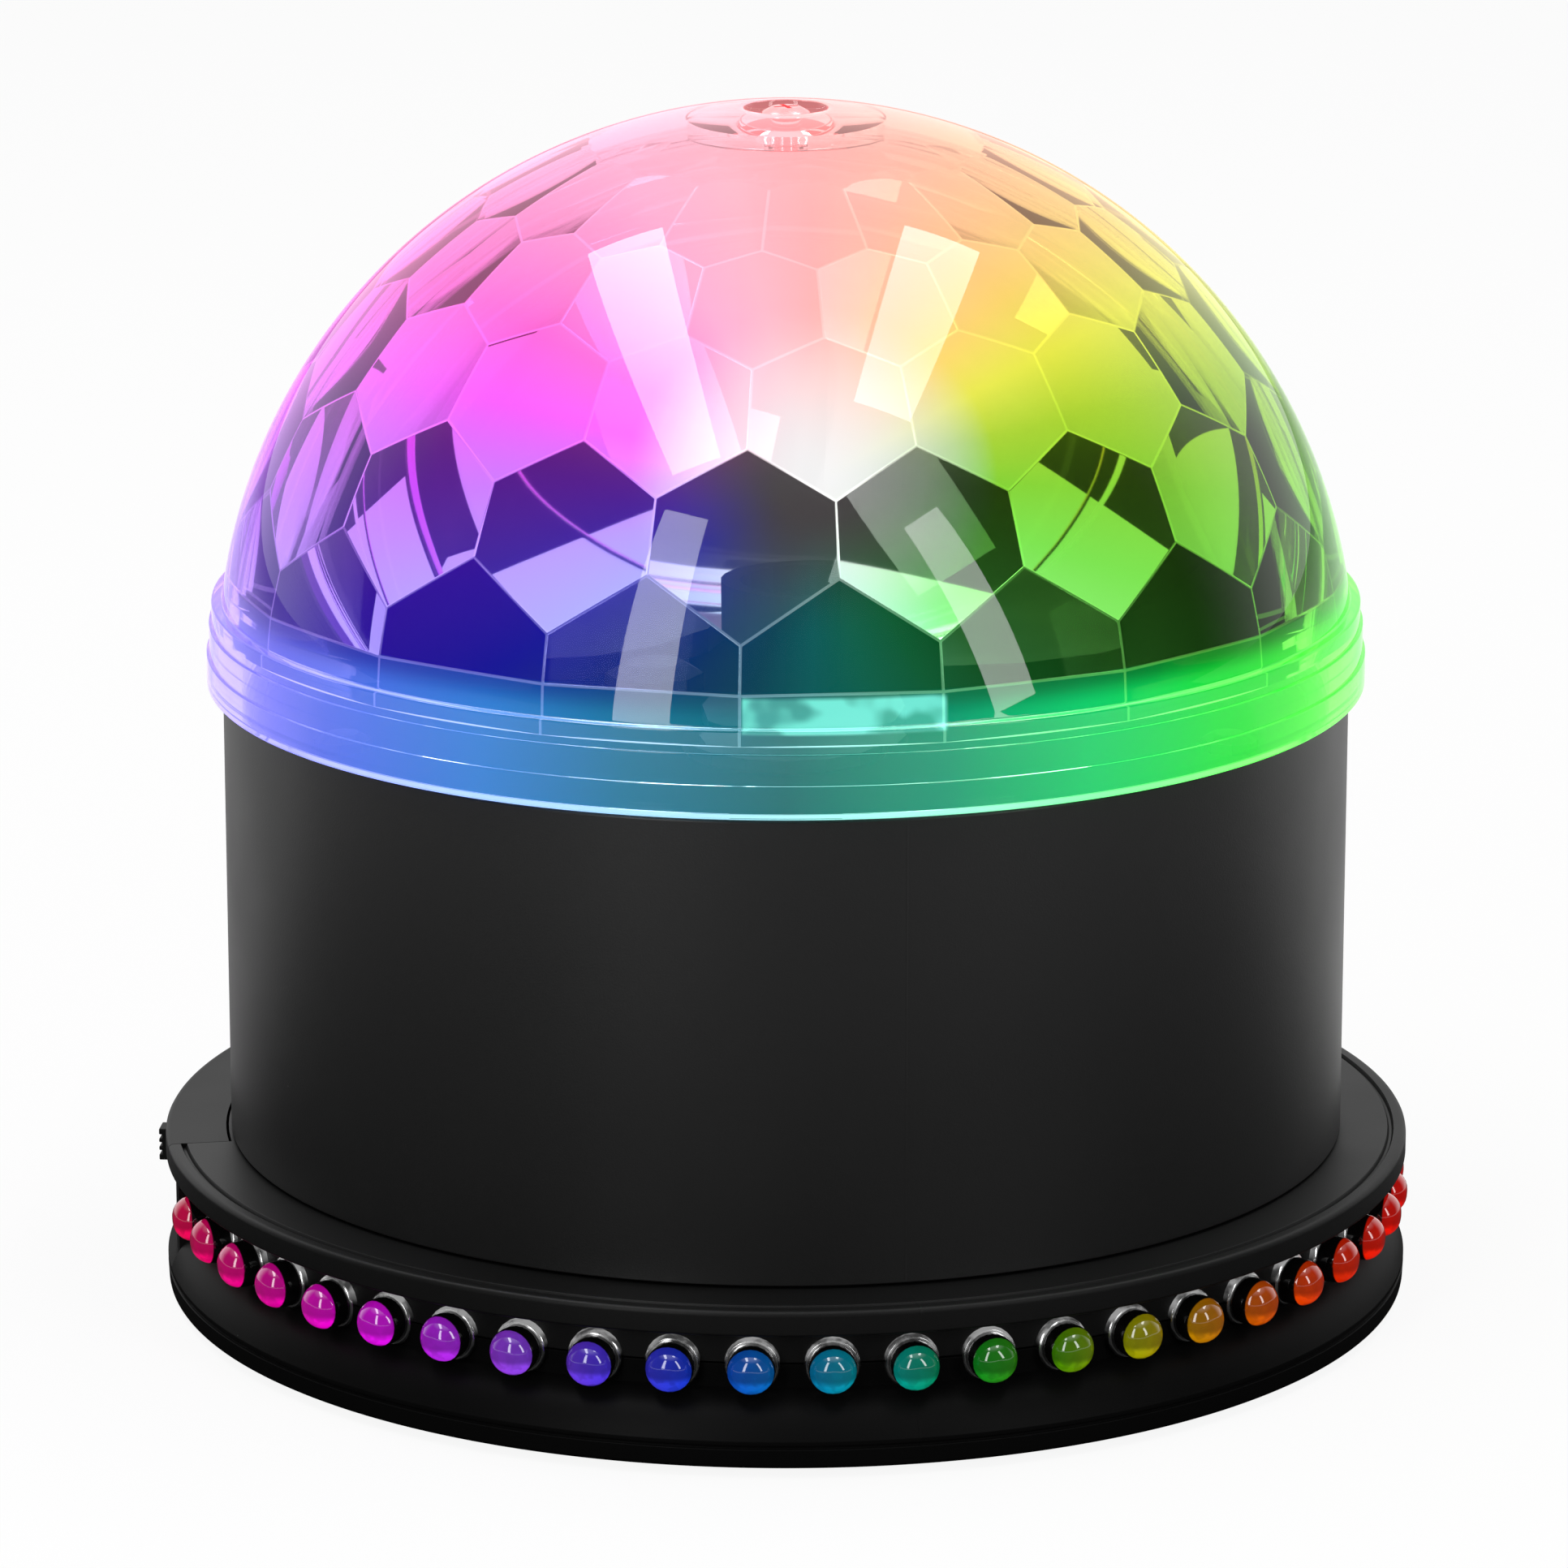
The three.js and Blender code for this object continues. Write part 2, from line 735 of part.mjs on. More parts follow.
function flatRow(distance, latitude, firstBearing) {
  const bearing = (i) => firstBearing + i * 360 / facetsPerRow;
  return Array.from({ length: facetsPerRow }, (_, i) => flatCutter(distance, latitude, bearing(i)));
}

function arc(radius, fromLatitude, toLatitude, steps) {
  return Array.from({ length: steps + 1 }, (_, i) => {
    const latitude = rad(fromLatitude + (toLatitude - fromLatitude) * i / steps);
    return [radius * Math.cos(latitude), domeCentre + radius * Math.sin(latitude)];
  });
}

const latitudeAt = (radius, height) => THREE.MathUtils.radToDeg(Math.asin((height - domeCentre) / radius));

// The room inside the dome: a round foot, an upright flat-sided skirt, five rows of facets, a smooth cap
function domeRoom() {
  const foot = disc(domeInnerRadius, domeBottom - overrun, skirtBottom, innerSegments);
  const blank = turned([
    [0, skirtBottom],
    ...arc(cornerRadius, latitudeAt(cornerRadius, skirtBottom), cornerToLatitude, 5),
    ...arc(capRadius, capFromLatitude, 90, 5),
  ], domeSegments);
  const skirt = flatRow(skirtRadius, 0, evenRowBearing);
  const facets = facetLatitudes.flatMap((latitude, row) => {
    const halfPitch = (row % 2) * 180 / facetsPerRow;
    return flatRow(facetRadius, latitude, evenRowBearing - halfPitch);
  });
  return cut(toSolid(blank), ...skirt, ...facets).add(toSolid(foot));
}

function domeLens() {
  const outside = turned([
    [0, domeBottom],
    [domeFootRadius, domeBottom],
    [domeStepRadius, domeBottom + domeFootChamfer],
    [domeStepRadius, domeBottom + domeStepHeight],
    [domeBandRadius, domeBottom + domeStepHeight],
    [domeBandRadius, domeBottom + domeBandHeight],
    [domeLedgeRadius, domeBottom + domeBandHeight],
    [domeLedgeRadius, domeLedgeTop],
    ...arc(sphereRadius, latitudeAt(sphereRadius, domeLedgeTop), 90, domeSteps),
  ], domeSegments);
  const boss = disc(bossRadius, bossBottom, spotFloor, discSegments);
  const spot = disc(spotRadius, spotFloor, domeApex + overrun, discSegments);
  const hole = disc(domeScrewRadius + seatGap, bossBottom - overrun, domeApex, smallSegments);
  return cut(toSolid(outside).subtract(domeRoom()).add(toSolid(boss)), spot, hole);
}

// A pan-head screw whose head's underside is at a height, with its shank pointing down or up
function screw(headRadius, headHeight, shankRadius, length, place, up = false) {
  const turn = up ? Math.PI : 0;
  const profile = [
    [0, -length],
    [shankRadius, -length],
    [shankRadius, 0],
    [headRadius, 0],
    [headRadius, headHeight * screwCrownShare],
    [headRadius * screwCrownShare, headHeight],
    [0, headHeight],
  ];
  return moved(turned(profile, smallSegments).rotateX(turn), place);
}

function driveHub() {
  const bottom = deckTop + hubRise;
  const shaftTop = shaftTopHeight + seatGap;
  return turned([
    [shaftRadius + seatGap, bottom],
    [hubRadius, bottom],
    [hubRadius, bottom + hubHeight],
    [pillarRadius + seatGap, bottom + hubHeight],
    [pillarRadius + seatGap, shaftTop + hubWeb],
    [0, shaftTop + hubWeb],
    [0, shaftTop],
    [shaftRadius + seatGap, shaftTop],
  ], innerSegments);
}

function drivePillar() {
  const bottom = shaftTopHeight + seatGap + hubWeb + seatGap;
  const top = bossBottom - seatGap;
  const bore = domeScrewRadius + seatGap;
  const boreFloor = washerTop + seatGap - domeScrewLength - seatGap;
  return turned([
    [0, bottom],
    [pillarRadius, bottom],
    [pillarRadius, top],
    [bore, top],
    [bore, boreFloor],
    [0, boreFloor],
  ], discSegments);
}

function motorBody() {
  const top = deckBottom - seatGap - bracketThickness - seatGap;
  const bore = shaftRadius + seatGap;
  return turned([
    [0, top - motorHeight],
    [motorRadius, top - motorHeight],
    [motorRadius, top],
    [noseRadius, top],
    [noseRadius, top + noseHeight],
    [bore, top + noseHeight],
    [bore, shaftTopHeight - shaftLength - seatGap],
    [0, shaftTopHeight - shaftLength - seatGap],
  ], discSegments);
}

function motorBracket() {
  const top = deckBottom - seatGap;
  const bar = new THREE.BoxGeometry(2 * bracketScrewReach, 2 * bracketEar, bracketThickness);
  bar.translate(0, 0, top - bracketThickness / 2);
  const ears = bracketBearings.map((bearing) => moved(
    disc(bracketEar, top - bracketThickness, top, smallSegments),
    towards(bearing, bracketScrewReach, 0),
  ));
  const middle = disc(2 * noseRadius, top - bracketThickness, top);
  const bore = disc(noseRadius + seatGap, top - bracketThickness - overrun, top + overrun);
  const holes = bracketBearings.map((bearing) => moved(
    disc(bossBore, top - bracketThickness - overrun, top + overrun, smallSegments),
    towards(bearing, bracketScrewReach, 0),
  ));
  return cut(join(bar, middle, ...ears), bore, ...holes);
}

// The lamp lead leaves the board through its own hole
const leadTop = towards(rearBearing, (lampBoardInner + lampBoardOuter) / 2, 0);

function lampBoard() {
  const bottom = deckBottom - lampBoardDrop;
  const plate = ring(lampBoardInner, lampBoardOuter, bottom, bottom + lampBoardThickness, innerSegments);
  const top = bottom + lampBoardThickness;
  const lead = moved(disc(leadRadius + seatGap, bottom - overrun, top + overrun, smallSegments), leadTop);
  const notches = deckScrewBearings.map((bearing) => moved(
    disc(sinkPostRadius + seatGap, bottom - overrun, top + overrun, smallSegments),
    towards(bearing, sinkPostCircle, 0),
  ));
  return cut(toSolid(plate), lead, ...notches);
}

function heatSink() {
  const top = deckBottom - lampBoardDrop - seatGap;
  const plate = ring(lampBoardInner, sinkOuter, top - sinkThickness, top, innerSegments);
  const finLength = sinkOuter - lampBoardInner - 2 * finThickness;
  const fins = Array.from({ length: finCount }, (_, i) => radialBox(
    finThickness,
    sinkOuter - finThickness - finLength,
    sinkOuter - finThickness,
    top - sinkThickness - finHeight,
    top - sinkThickness / 2,
    (i + finOffsetShare) * 360 / finCount,
  ));
  const lead = moved(
    disc(leadRadius + seatGap, top - sinkThickness - overrun, top + overrun, smallSegments),
    leadTop,
  );
  const holes = deckScrewBearings.map((bearing) => moved(
    disc(bossBore, top - sinkThickness - overrun, top + overrun, smallSegments),
    towards(bearing, sinkPostCircle, 0),
  ));
  return cut(join(plate, ...fins), lead, ...holes);
}

function emitter(bearing) {
  const base = new THREE.BoxGeometry(emitterWidth, emitterWidth, emitterHeight);
  return moved(base.rotateZ(rad(bearing)), towards(bearing, lampCircle, emitterBottom + emitterHeight / 2));
}

function lampLens(bearing) {
  const foot = emitterBottom + emitterHeight + seatGap;
  const rim = deckTop + seatGap;
  return moved(turned([
    [0, foot],
    [lensFootRadius, foot],
    [lensRadius, deckTop],
    [lensRadius, rim],
    [lensRimRadius, rim],
    [lensRimRadius, rim + lensRimHeight],
    [0, rim + lensRimHeight],
  ], discSegments), towards(bearing, lampCircle, 0));
}

function driverBoard() {
  const bottom = floorTop + boardRise;
  const plate = new THREE.BoxGeometry(boardLength, boardWidth, boardThickness);
  plate.translate(0, 0, bottom + boardThickness / 2);
  const holes = [[1, 1], [-1, -1]].map(([x, y]) => moved(
    disc(bossBore, bottom - overrun, bottom + boardThickness + overrun, smallSegments),
    new THREE.Vector3(x * boardPostX, y * boardPostY, 0),
  ));
  return cut(toSolid(plate), ...holes);
}

// A sleeve of wires along a smooth route through some points
function sleeve(points) {
  const extrudePath = new THREE.CatmullRomCurve3(points.map((point) => new THREE.Vector3(...point)));
  const section = new THREE.Shape().absarc(0, 0, leadRadius, 0, 2 * Math.PI, false);
  return new THREE.ExtrudeGeometry(section, { steps: leadSteps, curveSegments: leadSides, extrudePath });
}

// The lead hangs from the lamp board through the heat sink down to the driver board
function lampLead() {
  const from = deckBottom - lampBoardDrop + lampBoardThickness;
  const to = boardTop + seatGap;
  return sleeve([
    [leadTop.x, leadTop.y, from],
    [leadTop.x, leadTop.y, from - leadBend],
    [leadTop.x, leadTop.y, from - 2 * leadBend],
    [leadBoardX, leadBoardY, to + leadBend],
    [leadBoardX, leadBoardY, to + leadRadius],
    [leadBoardX, leadBoardY, to],
  ]);
}

// The motor's two wires run down in one sleeve
function motorLead() {
  const from = deckBottom - 2 * seatGap - bracketThickness - motorHeight - seatGap;
  const to = boardTop + seatGap;
  return sleeve([
    [0, 0, from],
    [0, 0, from - leadBend],
    [leadBoardX, 0, to + leadBend],
    [leadBoardX, 0, to + leadRadius],
    [leadBoardX, 0, to],
  ]);
}

const potFace = flatReach(bodyInner, potWidth) - seatGap;

function sensitivityPot() {
  const block = radialBox(
    potWidth,
    potFace - potDepth,
    potFace,
    knobHeight - potWidth / 2,
    knobHeight + potWidth / 2,
    rearBearing,
  );
  const bore = pointedOut(
    disc(knobStemRadius + seatGap, potFace - potBoreDepth, potFace + overrun, smallSegments),
    rearBearing,
    knobHeight,
  );
  return cut(toSolid(block), bore);
}

function sensitivityKnob() {
  const wall = bodyRadius + seatGap;
  const stemEnd = potFace - potBoreDepth + seatGap;
  const tip = wall + knobLength;
  const head = pointedOut(turned([
    [0, stemEnd],
    [knobStemRadius, stemEnd],
    [knobStemRadius, wall],
    [knobRadius, wall],
    [knobRadius, tip - edgeRound],
    [knobRadius - edgeRound, tip],
    [0, tip],
  ], discSegments), rearBearing, knobHeight);
  const mark = radialBox(
    edgeRound,
    tip - edgeRound,
    tip + overrun,
    knobHeight + knobRadius * knobMarkShare,
    knobHeight + knobRadius + overrun,
    rearBearing,
  );
  return cut(toSolid(head), mark);
}

// Base
add('base_lower_shell', lowerShell(), 'blackPlastic');
add('base_upper_shell', upperShell(), 'blackPlastic');
for (let strip = 0; strip < diodeCount / diodesPerStrip; strip += 1) {
  const bearings = diodeBearings.slice(strip * diodesPerStrip, (strip + 1) * diodesPerStrip);
  add(`led_strip_${strip + 1}`, diodeStrip(bearings), 'tintedDiode');
}

// Controls
add('control_panel', controlPanel(), 'blackPlastic');
add('switch_body', switchBody(), 'blackPlastic');
add('switch_lever', switchLever(), 'blackPlastic');
add('power_inlet', powerInlet(), 'blackPlastic');
add('microphone', microphoneCapsule(), 'aluminium');
add('sensitivity_pot', sensitivityPot(), 'sleeve');
add('sensitivity_knob', sensitivityKnob(), 'blackPlastic');

// Body and deck
add('body_shell', bodyShell(), 'blackPlastic');
add('deck_plate', deckPlate(), 'blackPlastic');

// Lamps
add('heat_sink', heatSink(), 'aluminium');
add('lamp_board', lampBoard(), 'whiteBoard');
lampBearings.forEach((bearing, i) => {
  add(`lamp_emitter_${i + 1}`, emitter(bearing), 'emitter');
  add(`lamp_lens_${i + 1}`, lampLens(bearing), 'clearPlastic');
});

// Drive and dome
add('motor_body', motorBody(), 'aluminium');
add('motor_bracket', motorBracket(), 'steel');
add('motor_shaft', disc(shaftRadius, shaftTopHeight - shaftLength, shaftTopHeight, discSegments), 'steel');
add('drive_hub', driveHub(), 'blackPlastic');
add('drive_pillar', drivePillar(), 'clearPlastic');
add('dome_lens', domeLens(), 'clearPlastic');
add('dome_washer', ring(
  domeScrewRadius + seatGap,
  spotRadius - seatGap,
  spotFloor + seatGap,
  washerTop,
  discSegments,
), 'steel');
add('dome_screw', screw(
  domeScrewHeadRadius,
  domeScrewHeadHeight,
  domeScrewRadius,
  domeScrewLength,
  new THREE.Vector3(0, 0, washerTop + seatGap),
), 'steel');

// Electronics
add('driver_board', driverBoard(), 'board');
add('filter_capacitor', moved(
  disc(capacitorRadius, boardTop + seatGap, boardTop + seatGap + capacitorHeight),
  new THREE.Vector3(capacitorX, capacitorY, 0),
), 'sleeve');
add('driver_chip', moved(
  new THREE.BoxGeometry(chipLength, chipWidth, chipHeight),
  new THREE.Vector3(chipX, chipY, boardTop + seatGap + chipHeight / 2),
), 'blackPlastic');
add('lamp_lead', lampLead(), 'blackRubber');
add('motor_lead', motorLead(), 'blackRubber');

// Screws and feet
const panHead = (length, place, up) =>
  screw(screwHeadRadius, screwHeadHeight, screwRadius, length, place, up);
screwBearings.forEach((bearing, i) => {
  const place = towards(bearing, baseScrewCircle, rimBottom + screwHeadHeight);
  add(`base_screw_${i + 1}`, panHead(baseScrewLength, place, true), 'steel');
});
deckScrewBearings.forEach((bearing, i) => {
  const place = towards(bearing, deckScrewCircle, deckTop + seatGap);
  add(`deck_screw_${i + 1}`, panHead(deckScrewLength, place), 'steel');
  const under = deckBottom - lampBoardDrop - 2 * seatGap - sinkThickness;
  const sinkScrew = panHead(shortScrewLength, towards(bearing, sinkPostCircle, under), true);
  add(`heat_sink_screw_${i + 1}`, sinkScrew, 'steel');
});
bracketBearings.forEach((bearing, i) => {
  const place = towards(bearing, bracketScrewReach, deckTop + seatGap);
  add(`motor_screw_${i + 1}`, panHead(shortScrewLength, place), 'steel');
});
[1, -1].forEach((side, i) => {
  const place = new THREE.Vector3(side * boardPostX, side * boardPostY, boardTop + seatGap);
  add(`board_screw_${i + 1}`, panHead(boardScrewLength, place), 'steel');
});
footBearings.forEach((bearing, i) => {
  const top = rimBottom + footSeatDepth - seatGap;
  add(`foot_${i + 1}`, moved(disc(footRadius, 0, top), towards(bearing, footCircle, 0)), 'blackRubber');
});

export default model;
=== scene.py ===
import math

import bmesh
import bpy
from mathutils import Color, Matrix, Vector


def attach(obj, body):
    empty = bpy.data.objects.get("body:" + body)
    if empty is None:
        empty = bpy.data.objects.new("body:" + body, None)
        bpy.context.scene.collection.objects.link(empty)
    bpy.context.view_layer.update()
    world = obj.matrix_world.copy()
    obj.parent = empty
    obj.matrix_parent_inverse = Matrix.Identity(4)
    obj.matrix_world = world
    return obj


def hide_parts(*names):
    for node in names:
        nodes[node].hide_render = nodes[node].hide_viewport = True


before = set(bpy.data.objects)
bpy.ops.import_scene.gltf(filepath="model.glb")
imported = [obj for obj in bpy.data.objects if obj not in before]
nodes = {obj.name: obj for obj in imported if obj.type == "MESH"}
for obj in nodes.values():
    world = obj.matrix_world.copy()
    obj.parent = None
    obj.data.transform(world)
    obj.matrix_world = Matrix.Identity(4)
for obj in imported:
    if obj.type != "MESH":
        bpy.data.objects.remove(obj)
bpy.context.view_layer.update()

# Lower half of the base: an injection-moulded tray of matt black plastic, closed from below by four
# screws. Its rim carries the light, and a rounded slope leads up from it to the wall of the ring
# channel, which ends half way up the diodes.
MM = 0.001
AROUND = 360
BASE_RADIUS = 68.0
CHANNEL_RADIUS = 64.0
CHANNEL_INNER = 61.6
SEAM = 11.0
BORE = 1.8
MOULD_LINE = 11.6
PANEL_FROM, PANEL_TO = -111.8, -80.2


class Wire:
    """One socket of a node tree. A sum written on it adds the Math nodes of that sum."""

    def __init__(self, tree, socket):
        self.tree = tree
        self.socket = socket

    def math(self, operation, *values):
        return self.tree.node("ShaderNodeMath", dict(enumerate(values)), {"operation": operation})

    def __add__(self, other):
        return self.math("ADD", self, other)

    def __radd__(self, other):
        return self.math("ADD", other, self)

    def __sub__(self, other):
        return self.math("SUBTRACT", self, other)

    def __rsub__(self, other):
        return self.math("SUBTRACT", other, self)

    def __mul__(self, other):
        return self.math("MULTIPLY", self, other)

    def __rmul__(self, other):
        return self.math("MULTIPLY", other, self)

    def __truediv__(self, other):
        return self.math("DIVIDE", self, other)

    def __rtruediv__(self, other):
        return self.math("DIVIDE", other, self)

    def __pow__(self, other):
        return self.math("POWER", self, other)

    def __abs__(self):
        return self.math("ABSOLUTE", self)

    def __gt__(self, other):
        return self.math("GREATER_THAN", self, other)

    def __lt__(self, other):
        return self.math("LESS_THAN", self, other)

    def most(self, other):
        return self.math("MAXIMUM", self, other)


class Tree:
    """A node tree under construction, of a material or of Geometry Nodes."""

    def __init__(self, tree):
        self.tree = tree
        tree.nodes.clear()

    def node(self, kind, sockets=(), settings=(), output=0):
        made = self.tree.nodes.new(kind)
        for name, value in dict(settings).items():
            if name == "stops":
                ramp = made.color_ramp
                ramp.elements[0].position, ramp.elements[0].color = value[0]
                ramp.elements[1].position, ramp.elements[1].color = value[-1]
                for position, colour in value[1:-1]:
                    ramp.elements.new(position).color = colour
            elif name == "interpolation":
                made.color_ramp.interpolation = value
            else:
                setattr(made, name, value)
        for key, value in dict(sockets).items():
            if isinstance(value, Wire):
                self.tree.links.new(value.socket, made.inputs[key])
            else:
                made.inputs[key].default_value = value
        return Wire(self, made.outputs[output]) if made.outputs else made

    def ramp(self, value, low, high, to_low=0.0, to_high=1.0):
        """A value between two others, eased, as a share of the way between them"""
        return self.node(
            "ShaderNodeMapRange",
            {"Value": value, "From Min": low, "From Max": high, "To Min": to_low, "To Max": to_high},
            {"interpolation_type": "SMOOTHSTEP"},
        )

    def rays(self):
        """Whether a ray comes from the camera, from a gloss, and through a clear piece"""
        path = self.node("ShaderNodeLightPath").socket.node.outputs
        return [Wire(self, path[f"Is {kind} Ray"]) for kind in ("Camera", "Glossy", "Transmission")]


class Finish(Tree):
    """A material whose surface is one shader."""

    def __init__(self, name):
        self.material = bpy.data.materials.new(name)
        self.material.use_nodes = True
        super().__init__(self.material.node_tree)
        self.place = self.node("ShaderNodeTexCoord", output="Object")

    def axes(self):
        split = self.node("ShaderNodeSeparateXYZ", {"Vector": self.place})
        return [Wire(self, output) for output in split.socket.node.outputs]

    def bearing(self):
        """Degrees from the front, positive to the right"""
        x, y, _ = self.axes()
        return x.math("ARCTAN2", x, y * -1) * math.degrees(1)

    def noise(self, scale, detail=2.0, place=None):
        return self.node(
            "ShaderNodeTexNoise",
            {"Vector": place or self.place, "Scale": scale, "Detail": detail},
        )

    def blend(self, share, first, second):
        return self.node(
            "ShaderNodeMix",
            {0: share, 6: first, 7: second},
            {"data_type": "RGBA"},
            output=2,
        )

    def bump(self, height, distance, strength=1.0):
        return self.node(
            "ShaderNodeBump", {"Height": height, "Distance": distance, "Strength": strength}
        )

    def finish(self, sockets):
        shader = self.node("ShaderNodeBsdfPrincipled", sockets)
        self.node("ShaderNodeOutputMaterial", {"Surface": shader})
        return self.material


def grey(value):
    return (value, value, value, 1.0)


def moulded(name, dark, light, roughness, level=0.15, grain=0.000012, mould_line=None):
    """Matt moulded plastic: fine spark grain, faint patches, a few specks of lint and rubbed places"""
    plastic = Finish(name)
    patches = plastic.noise(55.0, 3.0)
    cells = {"Vector": plastic.place, "Scale": 190.0}
    spot = plastic.node("ShaderNodeTexVoronoi", cells, output="Distance")
    chance = plastic.node("ShaderNodeTexVoronoi", cells, output="Color")
    lint = (spot < 0.022) * (plastic.node("ShaderNodeSeparateColor", {"Color": chance}) > 0.93)
    colour = plastic.blend(patches, dark, light)
    colour = plastic.blend(lint * 0.55, colour, grey(0.16))
    worn = plastic.ramp(plastic.noise(17.0, 4.0), 0.35, 0.7, roughness - 0.05, roughness + 0.05)
    height = plastic.noise(5200.0, 1.0) * grain / 0.0001 + plastic.noise(380.0, 2.0) * 0.02
    if mould_line is not None:
        ridge = plastic.ramp(abs(plastic.bearing() - mould_line), 0.0, 0.16, 1.0, 0.0)
        height = height + ridge * 0.35
    return plastic.finish({
        "Base Color": colour,
        "Roughness": worn,
        "IOR": 1.5,
        "Specular IOR Level": level,
        "Normal": plastic.bump(height, 0.0001, 0.6),
    })


black_plastic = moulded("black_plastic", grey(0.004), grey(0.0055), 0.48, level=0.21, mould_line=MOULD_LINE)


def softened(profile, steps=4):
    """A closed profile whose corners with a third number are rounded by that radius"""
    points = []
    for i, corner in enumerate(profile):
        place = Vector(corner[:2])
        if len(corner) == 2:
            points.append(place)
            continue
        before = Vector(profile[i - 1][:2]) - place
        after = Vector(profile[(i + 1) % len(profile)][:2]) - place
        half = before.angle(after) / 2
        reach = min(corner[2] / math.tan(half), 0.45 * before.length, 0.45 * after.length)
        start = place + before.normalized() * reach
        end = place + after.normalized() * reach
        for k in range(steps + 1):
            t = k / steps
            points.append((1 - t) ** 2 * start + 2 * t * (1 - t) * place + t ** 2 * end)
    return points


def towards(bearing, radius, height):
    turn = math.radians(bearing)
    return Vector((radius * math.sin(turn), -radius * math.cos(turn), height))


def skin(mesh, rings, closed, caps=True):
    """Faces between rings of vertices. A ring of one vertex is a pole."""
    count = max(len(ring) for ring in rings)
    for a, b in zip(rings, rings[1:] + rings[:1] if closed else rings[1:]):
        for i in range(count if caps else count - 1):
            j = (i + 1) % count
            corners = [a[i % len(a)], a[j % len(a)], b[j % len(b)], b[i % len(b)]]
            corners = [c for k, c in enumerate(corners) if c is not corners[k - 1]]
            if len(corners) > 2:
                mesh.faces.new(corners)


def turned(profile, segments=AROUND, span=None):
    """A closed profile turned about the Z axis, all the way or between two bearings"""
    mesh = bmesh.new()
    points = [tuple(point) for point in profile]
    bearings = [i * 360 / segments for i in range(segments)]
    if span:
        bearings = [span[0] + (span[1] - span[0]) * i / segments for i in range(segments + 1)]
    rings = []
    for radius, height in points:
        if radius < 1e-6:
            rings.append([mesh.verts.new((0, 0, height))])
        else:
            rings.append([mesh.verts.new(towards(b, radius, height)) for b in bearings])
    on_axis = len(rings[0]) == 1 and len(rings[-1]) == 1
    skin(mesh, rings, closed=not on_axis, caps=span is None)
    if span:
        mesh.faces.new([ring[0] for ring in rings])
        mesh.faces.new([ring[-1] for ring in rings])
    bmesh.ops.recalc_face_normals(mesh, faces=mesh.faces)
    return mesh


def box(width, inner, outer, low, high, bearing):
    """A block between two radii, square to a bearing"""
    mesh = bmesh.new()
    bmesh.ops.create_cube(mesh, size=1.0)
    bmesh.ops.scale(mesh, vec=(width, outer - inner, high - low), verts=mesh.verts)
    bmesh.ops.translate(mesh, vec=(0, -(inner + outer) / 2, (low + high) / 2), verts=mesh.verts)
    bmesh.ops.rotate(mesh, matrix=Matrix.Rotation(math.radians(bearing), 3, "Z"), verts=mesh.verts)
    return mesh


def moved(mesh, x=0.0, y=0.0, z=0.0):
    bmesh.ops.translate(mesh, vec=(x, y, z), verts=mesh.verts)
    return mesh


def laid(mesh, bearing, height):
    """A turned shape, laid down to point out through the wall at a bearing"""
    turn = Matrix.Rotation(math.radians(bearing), 3, "Z") @ Matrix.Rotation(math.radians(90), 3, "X")
    bmesh.ops.rotate(mesh, matrix=turn, verts=mesh.verts)
    return moved(mesh, z=height)


def made(name, *meshes):
    """One object of these meshes, drawn in millimetres"""
    data = bpy.data.meshes.new(name)
    whole = bmesh.new()
    for mesh in meshes:
        part = bpy.data.meshes.new("part")
        mesh.to_mesh(part)
        mesh.free()
        whole.from_mesh(part)
        bpy.data.meshes.remove(part)
    bmesh.ops.scale(whole, vec=(MM, MM, MM), verts=whole.verts)
    whole.to_mesh(data)
    whole.free()
    piece = bpy.data.objects.new(name, data)
    bpy.context.scene.collection.objects.link(piece)
    return piece


def settled(piece):
    """The piece's modifiers become part of its mesh"""
    seen = piece.evaluated_get(bpy.context.evaluated_depsgraph_get())
    data = bpy.data.meshes.new_from_object(seen)
    piece.modifiers.clear()
    piece.data = data
    return piece


def carved(piece, *tools):
    """The tools are cut out of the piece"""
    for tool in tools:
        cut = piece.modifiers.new("cut", "BOOLEAN")
        cut.operation = "DIFFERENCE"
        cut.solver = "EXACT"
        cut.object = tool
    settled(piece)
    for tool in tools:
        bpy.data.objects.remove(tool)
    return piece


def dressed(piece, material, body, slot, *stands_for, sharp=32.0):
    """Smooth faces that keep their edges, a material, and a place in the frame"""
    piece.data.shade_smooth()
    piece.data.set_sharp_from_angle(angle=math.radians(sharp))
    even = piece.modifiers.new("even", "WEIGHTED_NORMAL")
    even.keep_sharp = True
    even.weight = 90
    settled(piece)
    if material:
        piece.data.materials.clear()
        piece.data.materials.append(material)
    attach(piece, body)
    if stands_for:
        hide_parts(*stands_for)
    return piece


def ring_tool(name, inner, outer, low, high, span=None):
    corners = [(inner, low), (outer, low), (outer, high), (inner, high)]
    return made(name, turned(corners, 48 if span else AROUND, span))


def round_tools(name, radius, low, high, centres, segments=32):
    """Upright round tools at these centres"""
    corners = [(0, low), (radius, low), (radius, high), (0, high)]
    return made(name, *[moved(turned(corners, segments), c.x, c.y) for c in centres])


def places(circle, bearings):
    return [towards(bearing, circle, 0) for bearing in bearings]


def boss(centre, outer, low, high):
    """A tube for a screw that cuts its own thread"""
    tube = [(BORE, low), (outer, low), (outer, high), (BORE, high)]
    return moved(turned(tube, 32), centre.x, centre.y)


